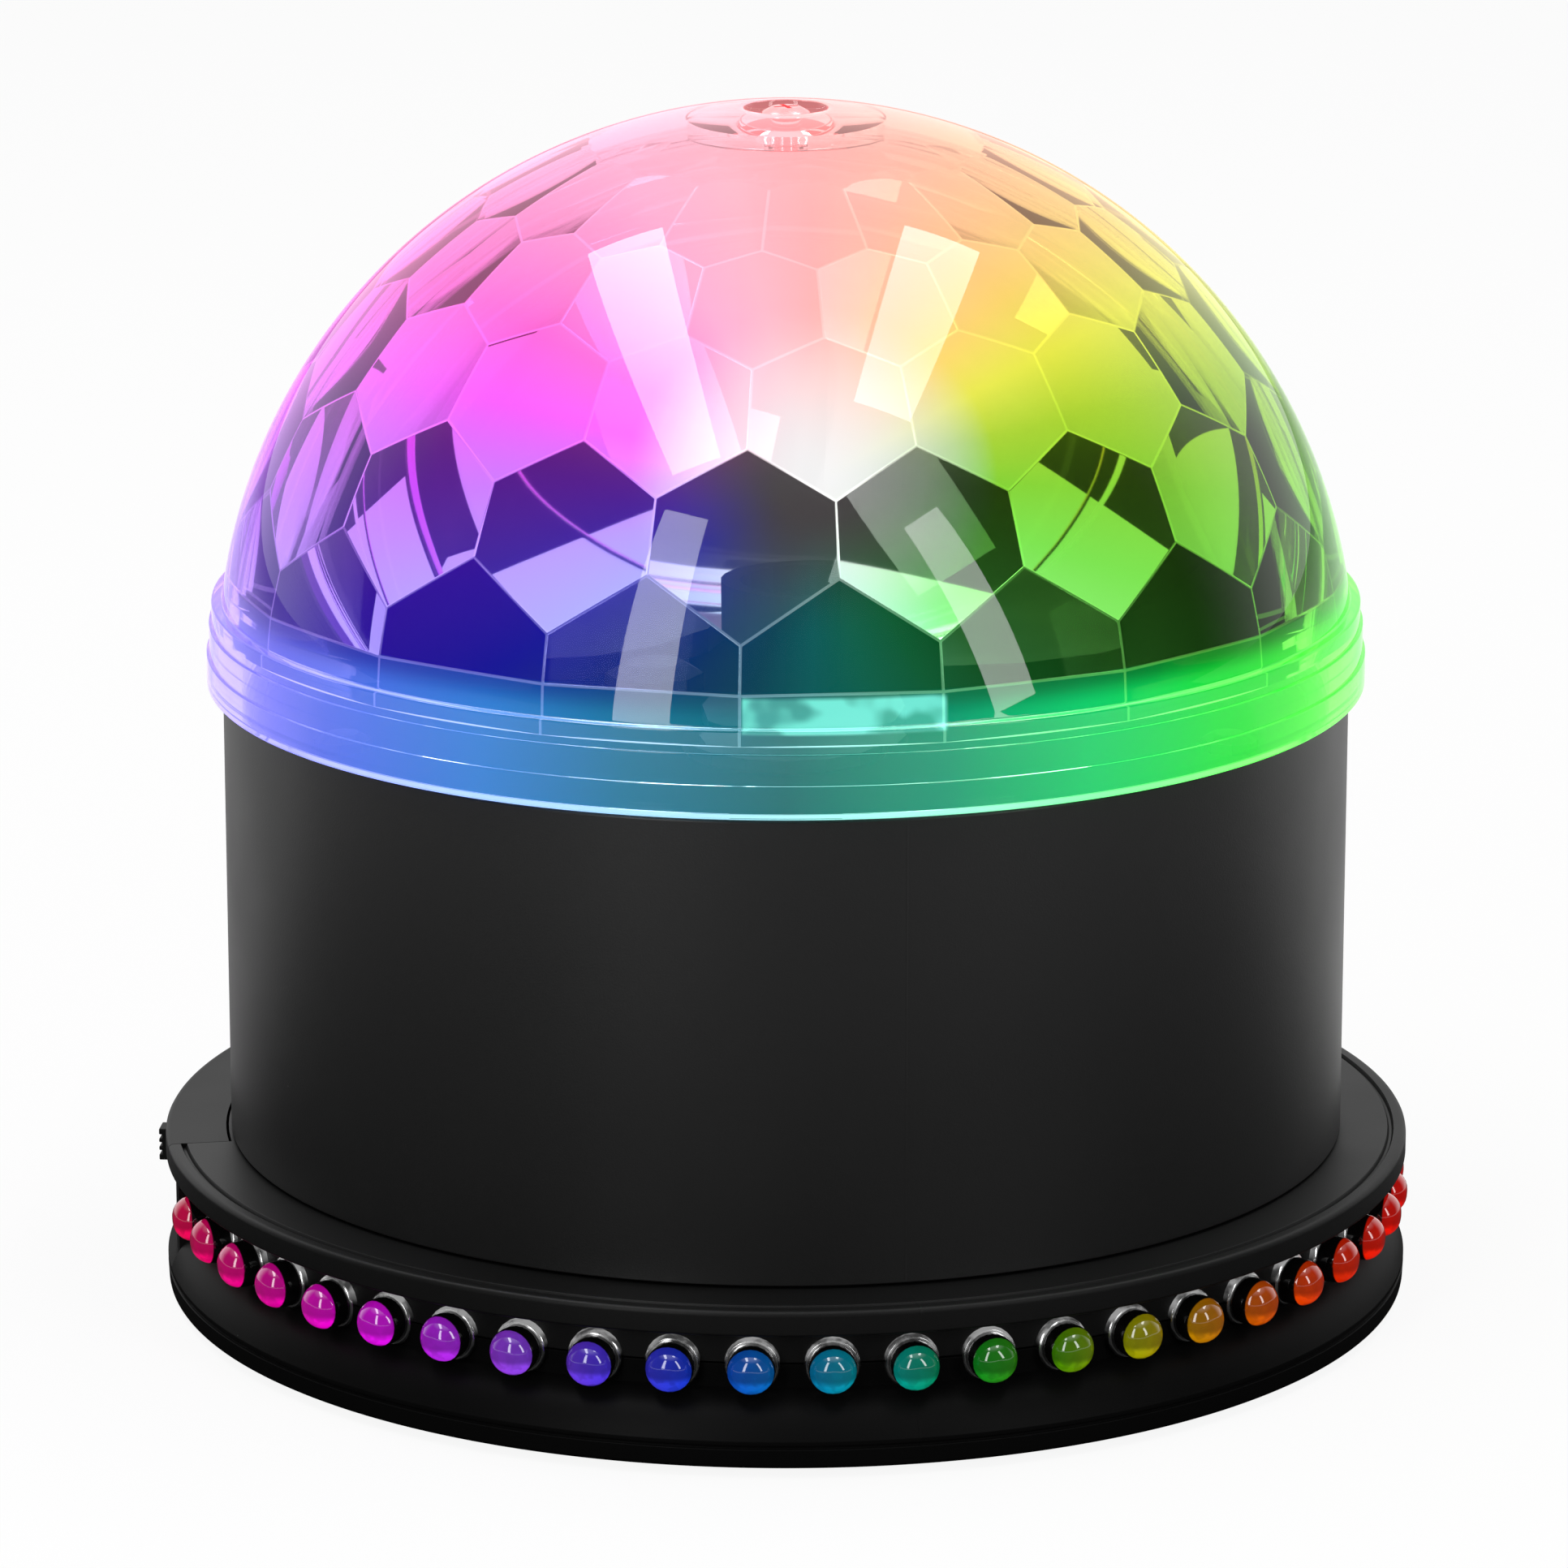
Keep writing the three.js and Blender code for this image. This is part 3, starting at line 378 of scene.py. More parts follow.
screw_places = places(52.0, (45, 135, 225, 315))
foot_places = places(48.0, (0, 90, 180, 270))
slope = [
    (BASE_RADIUS * (1 - t) ** 2 + 2 * 67.0 * t * (1 - t) + CHANNEL_RADIUS * t ** 2,
     3.9 * (1 - t) ** 2 + 2 * 7.0 * t * (1 - t) + 8.4 * t ** 2)
    for t in (0.15, 0.3, 0.45, 0.6, 0.8, 1.0)
]
lower_profile = softened([
    (0, 1.0),
    (67.9, 1.0, 0.5),
    (BASE_RADIUS, 3.05, 0.05),
    (BASE_RADIUS - 0.28, 3.15, 0.05),
    (BASE_RADIUS - 0.28, 3.4, 0.05),
    (BASE_RADIUS, 3.5, 0.08),
    (BASE_RADIUS, 3.95, 0.25),
    *slope,
    (CHANNEL_RADIUS, SEAM - 0.08, 0.08),
    (CHANNEL_INNER, SEAM - 0.08),
    (CHANNEL_INNER, 8.4),
    (65.6, 3.9),
    (65.6, 3.2),
    (0, 3.2),
])
base_lower = made("base_lower", turned(lower_profile))
carved(
    base_lower,
    ring_tool("panel_space", 60.6, 69.0, 4.0, 12.0, (PANEL_FROM - 0.25, PANEL_TO + 0.25)),
    round_tools("screw_seats", 3.1, 0.0, 3.1, screw_places),
    round_tools("foot_seats", 6.3, 0.0, 1.8, foot_places, 48),
)
# Painted shade: the lower half of the base and its bosses take a darker copy of the black plastic, with
# weaker reflection.
shaded_lower_plastic = moulded("shaded_lower_plastic", grey(0.0025), grey(0.0035), 0.48, level=0.06, mould_line=MOULD_LINE)
dressed(base_lower, shaded_lower_plastic, "housing", "black_plastic", "base_lower_shell")
base_bosses = made("base_bosses", *[boss(place, 3.6, 3.0, 15.6) for place in screw_places])
dressed(base_bosses, shaded_lower_plastic, "housing", "black_plastic")

# Upper half of the base: a moulded ring whose rim stands out over the diodes. A fine groove runs round
# its top just inside the edge, and stops at the control panel on the left.
upper_profile = softened([
    (CHANNEL_INNER, SEAM + 0.08),
    (CHANNEL_RADIUS, SEAM + 0.08, 0.08),
    (CHANNEL_RADIUS, 15.2, 0.5),
    (BASE_RADIUS, 15.2, 0.3),
    (BASE_RADIUS, 17.9, 0.6),
    (66.65, 17.9, 0.08),
    (66.45, 17.45, 0.08),
    (66.15, 17.45, 0.08),
    (65.95, 17.9, 0.08),
    (47.5, 17.9),
    (47.5, 15.9),
    (CHANNEL_INNER, 15.9),
])
base_upper = made("base_upper", turned(upper_profile))
carved(
    base_upper,
    ring_tool("panel_space", 61.1, 69.0, 10.0, 19.0, (PANEL_FROM - 0.1, PANEL_TO + 0.1)),
    round_tools("bores", BORE, 15.0, 19.0, screw_places),
)
dressed(base_upper, black_plastic, "housing", "black_plastic", "base_upper_shell")

# Ring of diodes: forty-five round 5 mm diodes on nine curved strips of board behind the channel wall.
# Each has a bright metal seating ring at the wall, its upper side lit by a painted highlight, a black
# barrel and a round tip of tinted epoxy with a faint glow and a brighter crescent of painted light on
# its lower half, and stands a little out of true.
DIODES = 45
FIRST_BEARING = -76.07
PITCH = 7.3


def repeated(name, pattern, material, tilt=0.0, count=DIODES, first=FIRST_BEARING, pitch=PITCH,
             height=SEAM, circle=0.0, seed=4):
    """Copies of a shape at even bearings round the Z axis, each turned to its bearing"""
    group = bpy.data.node_groups.new(name, "GeometryNodeTree")
    face = group.interface
    for label, kind, way in (
        ("Shape", "Object", "INPUT"), ("Count", "Int", "INPUT"), ("First bearing", "Float", "INPUT"),
        ("Pitch", "Float", "INPUT"), ("Circle", "Float", "INPUT"), ("Height", "Float", "INPUT"),
        ("Tilt", "Float", "INPUT"), ("Finish", "Material", "INPUT"), ("Ring", "Geometry", "OUTPUT"),
    ):
        face.new_socket(label, in_out=way, socket_type=f"NodeSocket{kind}")
    tree = Tree(group)
    given = tree.node("NodeGroupInput").socket.node.outputs
    value = {socket.name: Wire(tree, socket) for socket in given if socket.name}
    line = tree.node("GeometryNodeMeshLine", {"Count": value["Count"], "Offset": (0, 0, 0)})
    turn = (value["First bearing"] + value["Pitch"] * tree.node("GeometryNodeInputIndex")) * math.radians(1)

    def scatter(offset):
        sockets = {2: 0 - value["Tilt"], 3: value["Tilt"], "ID": tree.node("GeometryNodeInputIndex"),
                   "Seed": seed + offset}
        return tree.node("FunctionNodeRandomValue", sockets, {"data_type": "FLOAT"}, output=1)

    place = tree.node("ShaderNodeCombineXYZ", {
        0: value["Circle"] * turn.math("SINE", turn),
        1: value["Circle"] * turn.math("COSINE", turn) * -1,
        2: value["Height"],
    })
    points = tree.node("GeometryNodeSetPosition", {"Geometry": line, "Position": place})
    aim = tree.node("ShaderNodeCombineXYZ", {
        0: scatter(0) + 0.03, 1: 0.0, 2: turn + scatter(1),
    })
    shape = tree.node("GeometryNodeObjectInfo", {"Object": value["Shape"]}, output="Geometry")
    copies = tree.node("GeometryNodeInstanceOnPoints", {"Points": points, "Instance": shape, "Rotation": aim})
    real = tree.node("GeometryNodeRealizeInstances", {"Geometry": copies})
    done = tree.node("GeometryNodeSetMaterial", {"Geometry": real, "Material": value["Finish"]})
    tree.node("NodeGroupOutput", {0: done})
    holder = bpy.data.objects.new(name, bpy.data.meshes.new(name))
    bpy.context.scene.collection.objects.link(holder)
    ring = holder.modifiers.new("ring", "NODES")
    ring.node_group = group
    inputs = {socket.name: socket.identifier for socket in face.items_tree if socket.in_out == "INPUT"}
    for label, given_value in (
        ("Shape", pattern), ("Count", count), ("First bearing", float(first)), ("Pitch", float(pitch)),
        ("Circle", circle * MM), ("Height", height * MM), ("Tilt", tilt), ("Finish", material),
    ):
        ring[inputs[label]] = given_value
    settled(holder)
    bpy.data.objects.remove(pattern)
    return holder


def pointing_out(profile, segments=24):
    """A turned shape that points along -Y, its profile given as (radius, distance out)"""
    return laid(turned(profile, segments), 0, 0)


def swelling(turn, level, *swells):
    """A level all the way round, with swells that are given by their peak, width and amount"""
    for peak, width, amount in swells:
        away = (turn - peak + 180) % 360 - 180
        level += amount * math.exp(-(away / width) ** 2)
    return level


def spectral(hue, saturation, value):
    """The colour in 0-255 of a hue in degrees"""
    colour = Color()
    colour.hsv = hue / 360 % 1, min(saturation, 1), min(value, 1)
    return [channel * 255 for channel in colour]


CYAN_BEARING = 8


def rim_colour(bearing):
    """The spectrum once along the ring: red on the left, cyan near the front, red on the right"""
    spread = 30 if bearing > CYAN_BEARING else 60
    hue = 180 * (1 - math.tanh((bearing - CYAN_BEARING) / spread))
    saturation = swelling(bearing, 1.0, (-22, 12, -0.3))
    value = swelling(bearing, 0.95, (20, 25, -0.4))
    return spectral(hue, saturation, value)


RIM_COLOURS = [(bearing, rim_colour(bearing)) for bearing in (*range(-80, 97, 8), 280)]


def linear(colour, share=1.0):
    """A picture's colour in 0-255 as the renderer's own"""
    def straight(value):
        value = value / 255
        return value / 12.92 if value <= 0.04045 else ((value + 0.055) / 1.055) ** 2.4
    return (*[straight(value) * share for value in colour], 1.0)


def wheel(finish, colours, low, high, bearing):
    stops = [((at - low) / (high - low), linear(colour)) for at, colour in colours]
    return finish.node("ShaderNodeValToRGB", {"Fac": (bearing - low) / (high - low)}, {"stops": stops})


def around_ring(finish):
    """Bearing from the left end of the ring, round by the right and the back"""
    bearing = finish.bearing()
    return bearing + (bearing < -79.0) * 360


tip = Finish("diode_tip")
tip_colour = wheel(tip, RIM_COLOURS, -80.0, 280.0, around_ring(tip))
x, y, height = tip.axes()
coloured = tip.ramp((x * x + y * y) ** 0.5, 0.06655, 0.0667)
# Painted light: a brighter crescent on the lower half of the tip, broken by noise, stands for light refracted
# through it.
painted_crescent = tip.ramp(height, 0.0096, 0.0106, 1.0, 0.1) * tip.ramp(height, 0.0085, 0.0091)
facet_light = tip.ramp(tip.noise(900.0, 1.0), 0.42, 0.6)
tip_glow = coloured * (0.3 + painted_crescent * (0.5 + facet_light * 0.4))
diode_tip = tip.finish({
    "Base Color": tip.blend(coloured * 0.12, grey(0.003), tip_colour),
    "Roughness": 0.09,
    "IOR": 1.53,
    "Coat Weight": 1.0,
    "Coat Roughness": 0.02,
    "Emission Color": tip.blend(tip_glow, grey(0.0), tip_colour),
    "Emission Strength": 1.0,
})
rim = Finish("diode_rim")
# Painted highlight: the upper side of the ring glows white in patches.
painted_rim_highlight = rim.ramp(rim.axes()[2], 0.0112, 0.013) * rim.ramp(rim.noise(500.0, 3.0), 0.35, 0.6, 0.15, 1.0)
diode_rim = rim.finish({
    "Emission Color": rim.blend(painted_rim_highlight * 0.3, grey(0.0), grey(1.0)),
    "Emission Strength": 1.0,
    "Base Color": rim.blend(rim.noise(400.0), grey(0.4), grey(0.85)),
    "Metallic": 1.0,
    "Roughness": rim.ramp(rim.noise(400.0), 0.3, 0.7, 0.12, 0.24),
})
DIODE_ROOT = 64.0
lens_pattern = made("lens_pattern", pointing_out([(radius, reach - DIODE_ROOT) for radius, reach in (
    (0, 58.7), (2.5, 58.7), (2.5, 65.8), (2.49, 66.1), (2.42, 66.6), (2.28, 67.0), (2.03, 67.42),
    (1.7, 67.78), (1.3, 68.05), (0.85, 68.22), (0.4, 68.29), (0, 68.3),
)]))
rim_pattern = made("rim_pattern", pointing_out(softened([
    (2.52, -0.3), (2.88, -0.3), (2.88, 0.55, 0.12), (2.7, 0.75, 0.08), (2.52, 0.75),
], 2)))
bpy.context.view_layer.update()
lenses = repeated("diode_lenses", lens_pattern, diode_tip, tilt=0.07, circle=DIODE_ROOT)
rims = repeated("diode_rims", rim_pattern, diode_rim, tilt=0.07, circle=DIODE_ROOT)
strips = [f"led_strip_{i}" for i in range(1, 10)]
dressed(lenses, None, "housing", "diode_plastic", *strips)
dressed(rims, None, "housing", "diode_plastic")
board = Finish("circuit_board")
circuit_board = board.finish({
    "Base Color": board.blend(board.noise(900.0, 4.0), (0.006, 0.07, 0.025, 1), (0.01, 0.11, 0.04, 1)),
    "Roughness": board.ramp(board.noise(500.0), 0.3, 0.7, 0.3, 0.45),
})
strip_boards = made("strip_boards", *[
    turned([(59.1, 7.8), (60.3, 7.8), (60.3, 14.2), (59.1, 14.2)], 32, (
        FIRST_BEARING + PITCH * (5 * i - 0.42), FIRST_BEARING + PITCH * (5 * i + 4.42)))
    for i in range(9)
])
dressed(strip_boards, circuit_board, "housing", "circuit_board")

# Control panel: a moulded insert in the gap of the ring, with the slide switch, the power inlet and the
# hole of the microphone. The lever of the switch stands a little out beyond the rim.
panel_profile = softened([
    (62.2, 4.2), (67.0, 4.2, 0.2), (67.0, 15.2, 0.2), (68.0, 15.2, 0.3), (68.0, 17.9, 0.6), (61.4, 17.9),
    (61.4, 15.2), (62.2, 15.2),
])
panel = made("panel", turned(panel_profile, 64, (PANEL_FROM, PANEL_TO)))
SWITCH_BEARING, INLET_BEARING, MICROPHONE_BEARING = -94.5, -106.0, -86.0
PORT_HEIGHT = 10.4


def outward(radius, low, high, segments=40):
    return turned([(0, low), (radius, low), (radius, high), (0, high)], segments)


carved(
    panel,
    made("switch_pocket", box(6.6, 59.8, 64.6, 5.6, 16.2, SWITCH_BEARING)),
    made("switch_slot", box(3.2, 60.0, 69.0, 6.8, 15.0, SWITCH_BEARING)),
    made("inlet_hole", laid(outward(4.3, 58.0, 69.0), INLET_BEARING, PORT_HEIGHT)),
    made("sound_pocket", laid(outward(3.3, 58.0, 64.6), MICROPHONE_BEARING, PORT_HEIGHT)),
    made("sound_hole", laid(outward(1.0, 60.0, 69.0), MICROPHONE_BEARING, PORT_HEIGHT)),
)
control_plastic = moulded("control_plastic", grey(0.0045), grey(0.006), 0.48)
dressed(panel, control_plastic, "housing", "control_plastic", "control_panel")

lever = made("lever", box(2.6, 62.5, 69.5, 11.1, 14.7, SWITCH_BEARING))
carved(lever, *[
    made("rib", box(4.0, 69.15, 70.0, at - 0.22, at + 0.22, SWITCH_BEARING)) for at in (12.0, 12.9, 13.8)
])
bevel = lever.modifiers.new("edge", "BEVEL")
bevel.width = 0.12 * MM
bevel.segments = 2
bevel.limit_method = "ANGLE"
settled(lever)
dressed(lever, control_plastic, "mode_switch", "control_plastic", "switch_lever")

inlet = made("inlet", laid(turned(softened([
    (0, 55.0), (4.0, 55.0), (4.0, 67.0, 0.2), (2.8, 67.0, 0.3), (2.8, 58.0), (1.0, 58.0), (1.0, 65.8, 0.4),
    (0, 65.8),
]), 48), INLET_BEARING, PORT_HEIGHT))
dressed(inlet, control_plastic, "housing", "control_plastic", "power_inlet")

# Body: a round moulding that stands on the base, held by the base screws from below. The faint line of
# its mould runs down the front, a little to the right. Nothing is printed on it.
REAR = 180
KNOB_HEIGHT = 48.2
body_profile = softened([
    (47.5, 18.2), (60.8, 18.2, 0.15), (60.8, 67.5, 0.4), (58.4, 67.5, 0.2), (58.4, 63.7), (54.5, 63.7),
    (54.5, 61.5), (58.4, 57.6), (58.4, 20.2), (47.5, 20.2),
])
body = made("body", turned(body_profile))
carved(
    body,
    made("stem_hole", laid(outward(3.3, 57.0, 62.0), REAR, KNOB_HEIGHT)),
    round_tools("bores", BORE, 17.0, 21.0, screw_places),
)
body_plastic = moulded("body_plastic", grey(0.0055), grey(0.0065), 0.4, level=0.45, mould_line=MOULD_LINE)
dressed(body, body_plastic, "housing", "black_plastic", "body_shell")
body_bosses = made(
    "body_bosses",
    *[boss(place, 3.6, 19.0, 28.2) for place in screw_places],
    *[boss(place, 3.4, 55.7, 63.6) for place in places(52.6, (60, 180, 300))],
)
dressed(body_bosses, black_plastic, "housing", "black_plastic")

# Sensitivity knob on the rear of the body: a small fluted knob with a groove as its mark, on the stem
# of its control.
knob = made("knob", laid(turned(softened([
    (0, 58.6), (2.95, 58.6), (2.95, 61.1), (5.5, 61.1, 0.3), (5.3, 66.5, 0.7), (3.2, 66.5, 0.3),
    (3.0, 66.2, 0.3), (0, 66.2),
]), 72), REAR, KNOB_HEIGHT))
carved(knob, made("flutes", *[
    moved(laid(outward(0.55, 61.7, 67.0, 12), REAR, KNOB_HEIGHT),
          5.75 * math.cos(math.radians(i * 20)), 0, 5.75 * math.sin(math.radians(i * 20)))
    for i in range(18)
]), made("mark", box(0.7, 66.0, 67.0, 50.6, 54.2, REAR)))
dressed(knob, control_plastic, "sensitivity", "control_plastic", "sensitivity_knob")

# Dome: one clear acrylic moulding, smooth outside. The inner wall has an upright skirt and five rows of
# flat facets, each row half a pitch round from the next, under a smooth cap, so that every facet is a
# weak lens. It ends below in a stepped band, and its tip is recessed for a screw. A rainbow is dyed into
# the wall round a point high on the front. The outside also carries a faint glow of painted light. The
# glow is dark near the middle of the rainbow, takes colours of its own on the band at the foot, grows
# stronger where the wall is seen edge on, and brightens to a painted patch on the front above the ledge.
FACETS = 18
LATITUDES = (12.3, 26.1, 39.4, 52.4, 63.1)
FIRST_FACET = 5.5
CENTRE = 68.4
SPHERE_REACH = 61.4
FACET_REACH = 58.9
SKIRT_REACH = 57.8
SKIRT_BOTTOM = 74.8
BLANK_REACH = 60.1
CAP_REACH = 59.3
BOSS_RADIUS = 10.35
SPOT_FLOOR = 127.4
LEDGE = 77.0
EDGE_WIDTH = 0.3
LOW_ROW = 87.5
SEGMENTS = FACETS * 16
FACET, RIDGE, LOW_FACET, RECESS = 1, 2, 3, 4


def facing(latitude, bearing):
    up = math.radians(latitude)
    return towards(bearing, math.cos(up), math.sin(up))


def arc(reach, low, high, steps):
    """Points of a profile on a circle about the middle of the dome, between two latitudes"""
    turns = [math.radians(low + (high - low) * i / steps) for i in range(steps + 1)]
    return [(reach * math.cos(turn), CENTRE + reach * math.sin(turn)) for turn in turns]


def latitude_of(reach, height):
    return math.degrees(math.asin((height - CENTRE) / reach))


def rings_of(mesh, profile):
    bearings = [i * 360 / SEGMENTS for i in range(SEGMENTS)]
    return [[mesh.verts.new(towards(bearing, *point)) for bearing in bearings] for point in profile]


def shaved(mesh, direction, reach, index=FACET):
    """Everything beyond a plane at this distance from the middle of the dome is cut away"""
    cut = bmesh.ops.bisect_plane(
        mesh,
        geom=[*mesh.verts, *mesh.edges, *mesh.faces],
        dist=1e-5,
        plane_co=Vector((0, 0, CENTRE)) + direction * reach,
        plane_no=direction,
        clear_outer=True,
    )
    edges = [item for item in cut["geom_cut"] if isinstance(item, bmesh.types.BMEdge)]
    if edges:
        for face in bmesh.ops.contextual_create(mesh, geom=edges)["faces"]:
            face.material_index = index


def dome_mesh():
    mesh = bmesh.new()
    boss_latitude = math.degrees(math.acos(BOSS_RADIUS / CAP_REACH))
    cap = arc(CAP_REACH, 60, boss_latitude, 24)
    room = rings_of(mesh, arc(BLANK_REACH, latitude_of(BLANK_REACH, SKIRT_BOTTOM), 59, 16) + cap)
    skin(mesh, room, closed=False)
    mesh.faces.new(room[0])
    mesh.faces.new(room[-1])
    bmesh.ops.recalc_face_normals(mesh, faces=mesh.faces)
    half = 180 / FACETS
    rows = [[(0, FIRST_FACET + 2 * i * half, SKIRT_REACH) for i in range(FACETS)]]
    for row, latitude in enumerate(LATITUDES):
        first = FIRST_FACET - (row % 2) * half
        rows.append([(latitude, first + 2 * i * half, FACET_REACH) for i in range(FACETS)])
    for latitude, bearing, reach in [flat for row in rows for flat in row]:
        shaved(mesh, facing(latitude, bearing), reach)
    pairs = [(row[i], row[(i + 1) % FACETS]) for row in rows for i in range(FACETS)]
    pairs += zip(rows[0], rows[1])
    for lower, upper in zip(rows[1:], rows[2:]):
        for flat in lower:
            pairs += [(flat, (upper[0][0], flat[1] + side * half, FACET_REACH)) for side in (-1, 1)]
    for first, second in pairs:
        reach = (first[2] + second[2]) / 2
        first, second = facing(*first[:2]), facing(*second[:2])
        bend = first.angle(second) / 2
        ridge = reach / math.cos(bend)
        shaved(mesh, (first + second).normalized(), ridge - EDGE_WIDTH / 2 * math.tan(bend), RIDGE)
    caps = [face for face in mesh.faces if all(abs(v.co.z - SKIRT_BOTTOM) < 0.001 for v in face.verts)
            or all(abs(v.co.z - cap[-1][1]) < 0.001 for v in face.verts)]
    bmesh.ops.delete(mesh, geom=caps, context="FACES_ONLY")
    open_edges = [edge for edge in mesh.edges if edge.is_boundary]
    skirt_edges = [edge for edge in open_edges if edge.verts[0].co.z < SKIRT_BOTTOM + 0.1]
    spot_edge = CENTRE + math.sqrt(SPHERE_REACH ** 2 - 4.7 ** 2)
    wall = arc(SPHERE_REACH, latitude_of(SPHERE_REACH, spot_edge), latitude_of(SPHERE_REACH, LEDGE), 110)
    outline = rings_of(mesh, softened([
        cap[-1], (BOSS_RADIUS, 125.5, 0.3), (1.55, 125.5, 0.1), (1.55, SPOT_FLOOR, 0.1),
        (4.5, SPOT_FLOOR, 0.2), (4.5, spot_edge - 0.2), (4.56, spot_edge - 0.06),
        *wall[:-1], (*wall[-1], 0.25),
        (61.9, LEDGE, 0.25), (61.9, 74.6, 0.05), (62.2, 74.6, 0.1), (62.2, 71.4, 0.05), (62.5, 71.4, 0.1),
        (62.5, 68.1, 0.1), (62.3, 67.9, 0.1), (58.8, 67.9, 0.1), (58.8, SKIRT_BOTTOM),
    ], 5))
    skin(mesh, outline, closed=False)
    foot = outline[-1]
    foot_edges = [mesh.edges.get((foot[i], foot[(i + 1) % SEGMENTS])) for i in range(SEGMENTS)]
    bmesh.ops.triangle_fill(mesh, edges=skirt_edges + foot_edges, use_beauty=True)
    bmesh.ops.remove_doubles(mesh, verts=mesh.verts, dist=1e-4)
    bmesh.ops.recalc_face_normals(mesh, faces=mesh.faces)
    for face in mesh.faces:
        middle = face.calc_center_median()
        across = math.hypot(middle.x, middle.y)
        inside = across < 59.5 and (middle - Vector((0, 0, CENTRE))).length < 60.6
        if across < 4.6 and middle.z > SPOT_FLOOR - 0.2:
            face.material_index = RECESS
        elif face.material_index != RIDGE and inside:
            face.material_index = LOW_FACET if middle.z < LOW_ROW else FACET
    return mesh


HUB_ACROSS = 0.0026
HUB_UP = 0.0836


def colour_wheel(lean, saturation, value):
    """Colours once round: the hue is the turn itself with a lean, and the depth and light swell at places"""
    return [
        (turn, spectral(swelling(turn, turn, *lean), swelling(turn, *saturation), swelling(turn, *value)))
        for turn in range(0, 361, 15)
    ]


RAINBOW = colour_wheel(
    lean=[(130, 20, -15), (295, 30, 15)],
    saturation=(0.25, (80, 50, 0.5), (290, 30, 0.35)),
    value=(1.0, (80, 30, -0.15)),
)
PAINTED_GLOW = colour_wheel(
    lean=[],
    saturation=(0.95, (0, 45, -0.6)),
    value=(0.1, (160, 40, 0.25), (250, 45, 0.5)),
)
PAINTED_FOOT_GLOW = colour_wheel(
    lean=[(85, 25, 20), (285, 35, -15)],
    saturation=(0.95, (250, 50, -0.35), (340, 50, -0.4)),
    value=(0.95, (180, 22, -0.5)),
)


def rainbow(finish):
    """Turn round the middle of the rainbow, clockwise from straight up, and distance from it"""
    x, y, z = finish.axes()
    across = x - HUB_ACROSS
    up = y * 0.2549 + z * 0.967 - HUB_UP
    turn = across.math("ARCTAN2", across, up) * math.degrees(1)
    turn = turn + (turn < 0.0) * 360
    colours = [wheel(finish, stops, 0.0, 360.0, turn) for stops in (RAINBOW, PAINTED_GLOW)]
    colours.append(wheel(finish, PAINTED_FOOT_GLOW, 0.0, 360.0, 180.0 - finish.bearing()))
    return *colours, (across * across + up * up) ** 0.5, z


clear = Finish("dome_acrylic")
colour, painted_glow, painted_foot_glow, distance, height = rainbow(clear)
outside = 1 - clear.node("ShaderNodeNewGeometry", output="Backfacing")
strength = clear.ramp(distance, 0.0, 0.019)


def multiplied(finish, first, second):
    return finish.node(
        "ShaderNodeMix",
        {0: 1.0, 6: first, 7: second},
        {"data_type": "RGBA", "blend_type": "MULTIPLY"},
        output=2,
    )


tint = multiplied(clear, colour, colour)
# Painted light: the band at the foot glows in colours of its own, weaker towards its top.
foot = clear.ramp(height, 0.0772, 0.0802, 0.82, 0.24) * clear.ramp(height, 0.0802, 0.0806, 1.0, 0.0)
# Painted light: low on the wall the glow takes colours of its own and fades to dark brown near the middle of
# the rainbow. Higher up it is a weak glow in the tint.
upper = clear.ramp(height, 0.098, 0.112)
near_hub = clear.ramp(distance, 0.003, 0.016)
painted_glow = clear.blend(near_hub, linear((34, 24, 28)), painted_glow)
painted_light_colour = clear.blend(upper, painted_glow, clear.blend(strength * 0.22, grey(0.0), tint))
x, y, _ = clear.axes()
# Painted light: a bright cyan patch on the front just above the ledge, broken by noise.
painted_patch = clear.ramp(height, 0.0764, 0.0768) * clear.ramp(height, 0.0796, 0.0802, 1.0, 0.0)
painted_patch = painted_patch * clear.ramp(x, -0.0046, -0.0042) * clear.ramp(x, 0.0158, 0.0164, 1.0, 0.0) * (y < 0.0)
# Painted sheen: where the wall is seen edge on, the glow turns towards the full tint.
painted_edge_sheen = clear.ramp(clear.node("ShaderNodeLayerWeight", {"Blend": 0.5}, output="Facing"), 0.55, 0.95)
painted_light_colour = clear.blend(painted_edge_sheen * 0.5, painted_light_colour, tint)
painted_light_colour = clear.blend(foot, painted_light_colour, painted_foot_glow)
painted_patch = painted_patch * clear.ramp(clear.noise(160.0, 2.0), 0.36, 0.5, 0.3, 0.9)
painted_light_colour = clear.blend(painted_patch, painted_light_colour, linear((120, 241, 222)))
dome_acrylic = clear.finish({
    "Base Color": clear.blend(strength * outside, grey(1.0), tint),
    "Roughness": 0.015,
    "IOR": 1.49,
    "Transmission Weight": 1.0,
    "Emission Color": clear.blend(outside, grey(0.0), painted_light_colour),
    "Emission Strength": 1.0,
})


def acrylic(finish, roughness, sockets=()):
    """Clear acrylic without the dye"""
    return finish.finish({
        "Base Color": finish.blend(finish.noise(40.0), grey(0.99), grey(1.0)),
        "Roughness": roughness,
        "IOR": 1.49,
        "Transmission Weight": 1.0,
        **dict(sockets),
    })


dome_inside = acrylic(Finish("dome_inside"), 0.01)
# Painted shade: the lowest inner facets reflect only a tenth as strongly, face on.
dome_low = acrylic(Finish("dome_low_facets"), 0.01, {"Specular Tint": (0.1, 0.1, 0.1, 1.0)})
# Painted light: the recess at the tip glows a pale pink.
dome_recess = acrylic(Finish("dome_recess"), 0.02, {
    "Emission Color": linear((255, 150, 152), 0.6),
    "Emission Strength": 1.0,
})
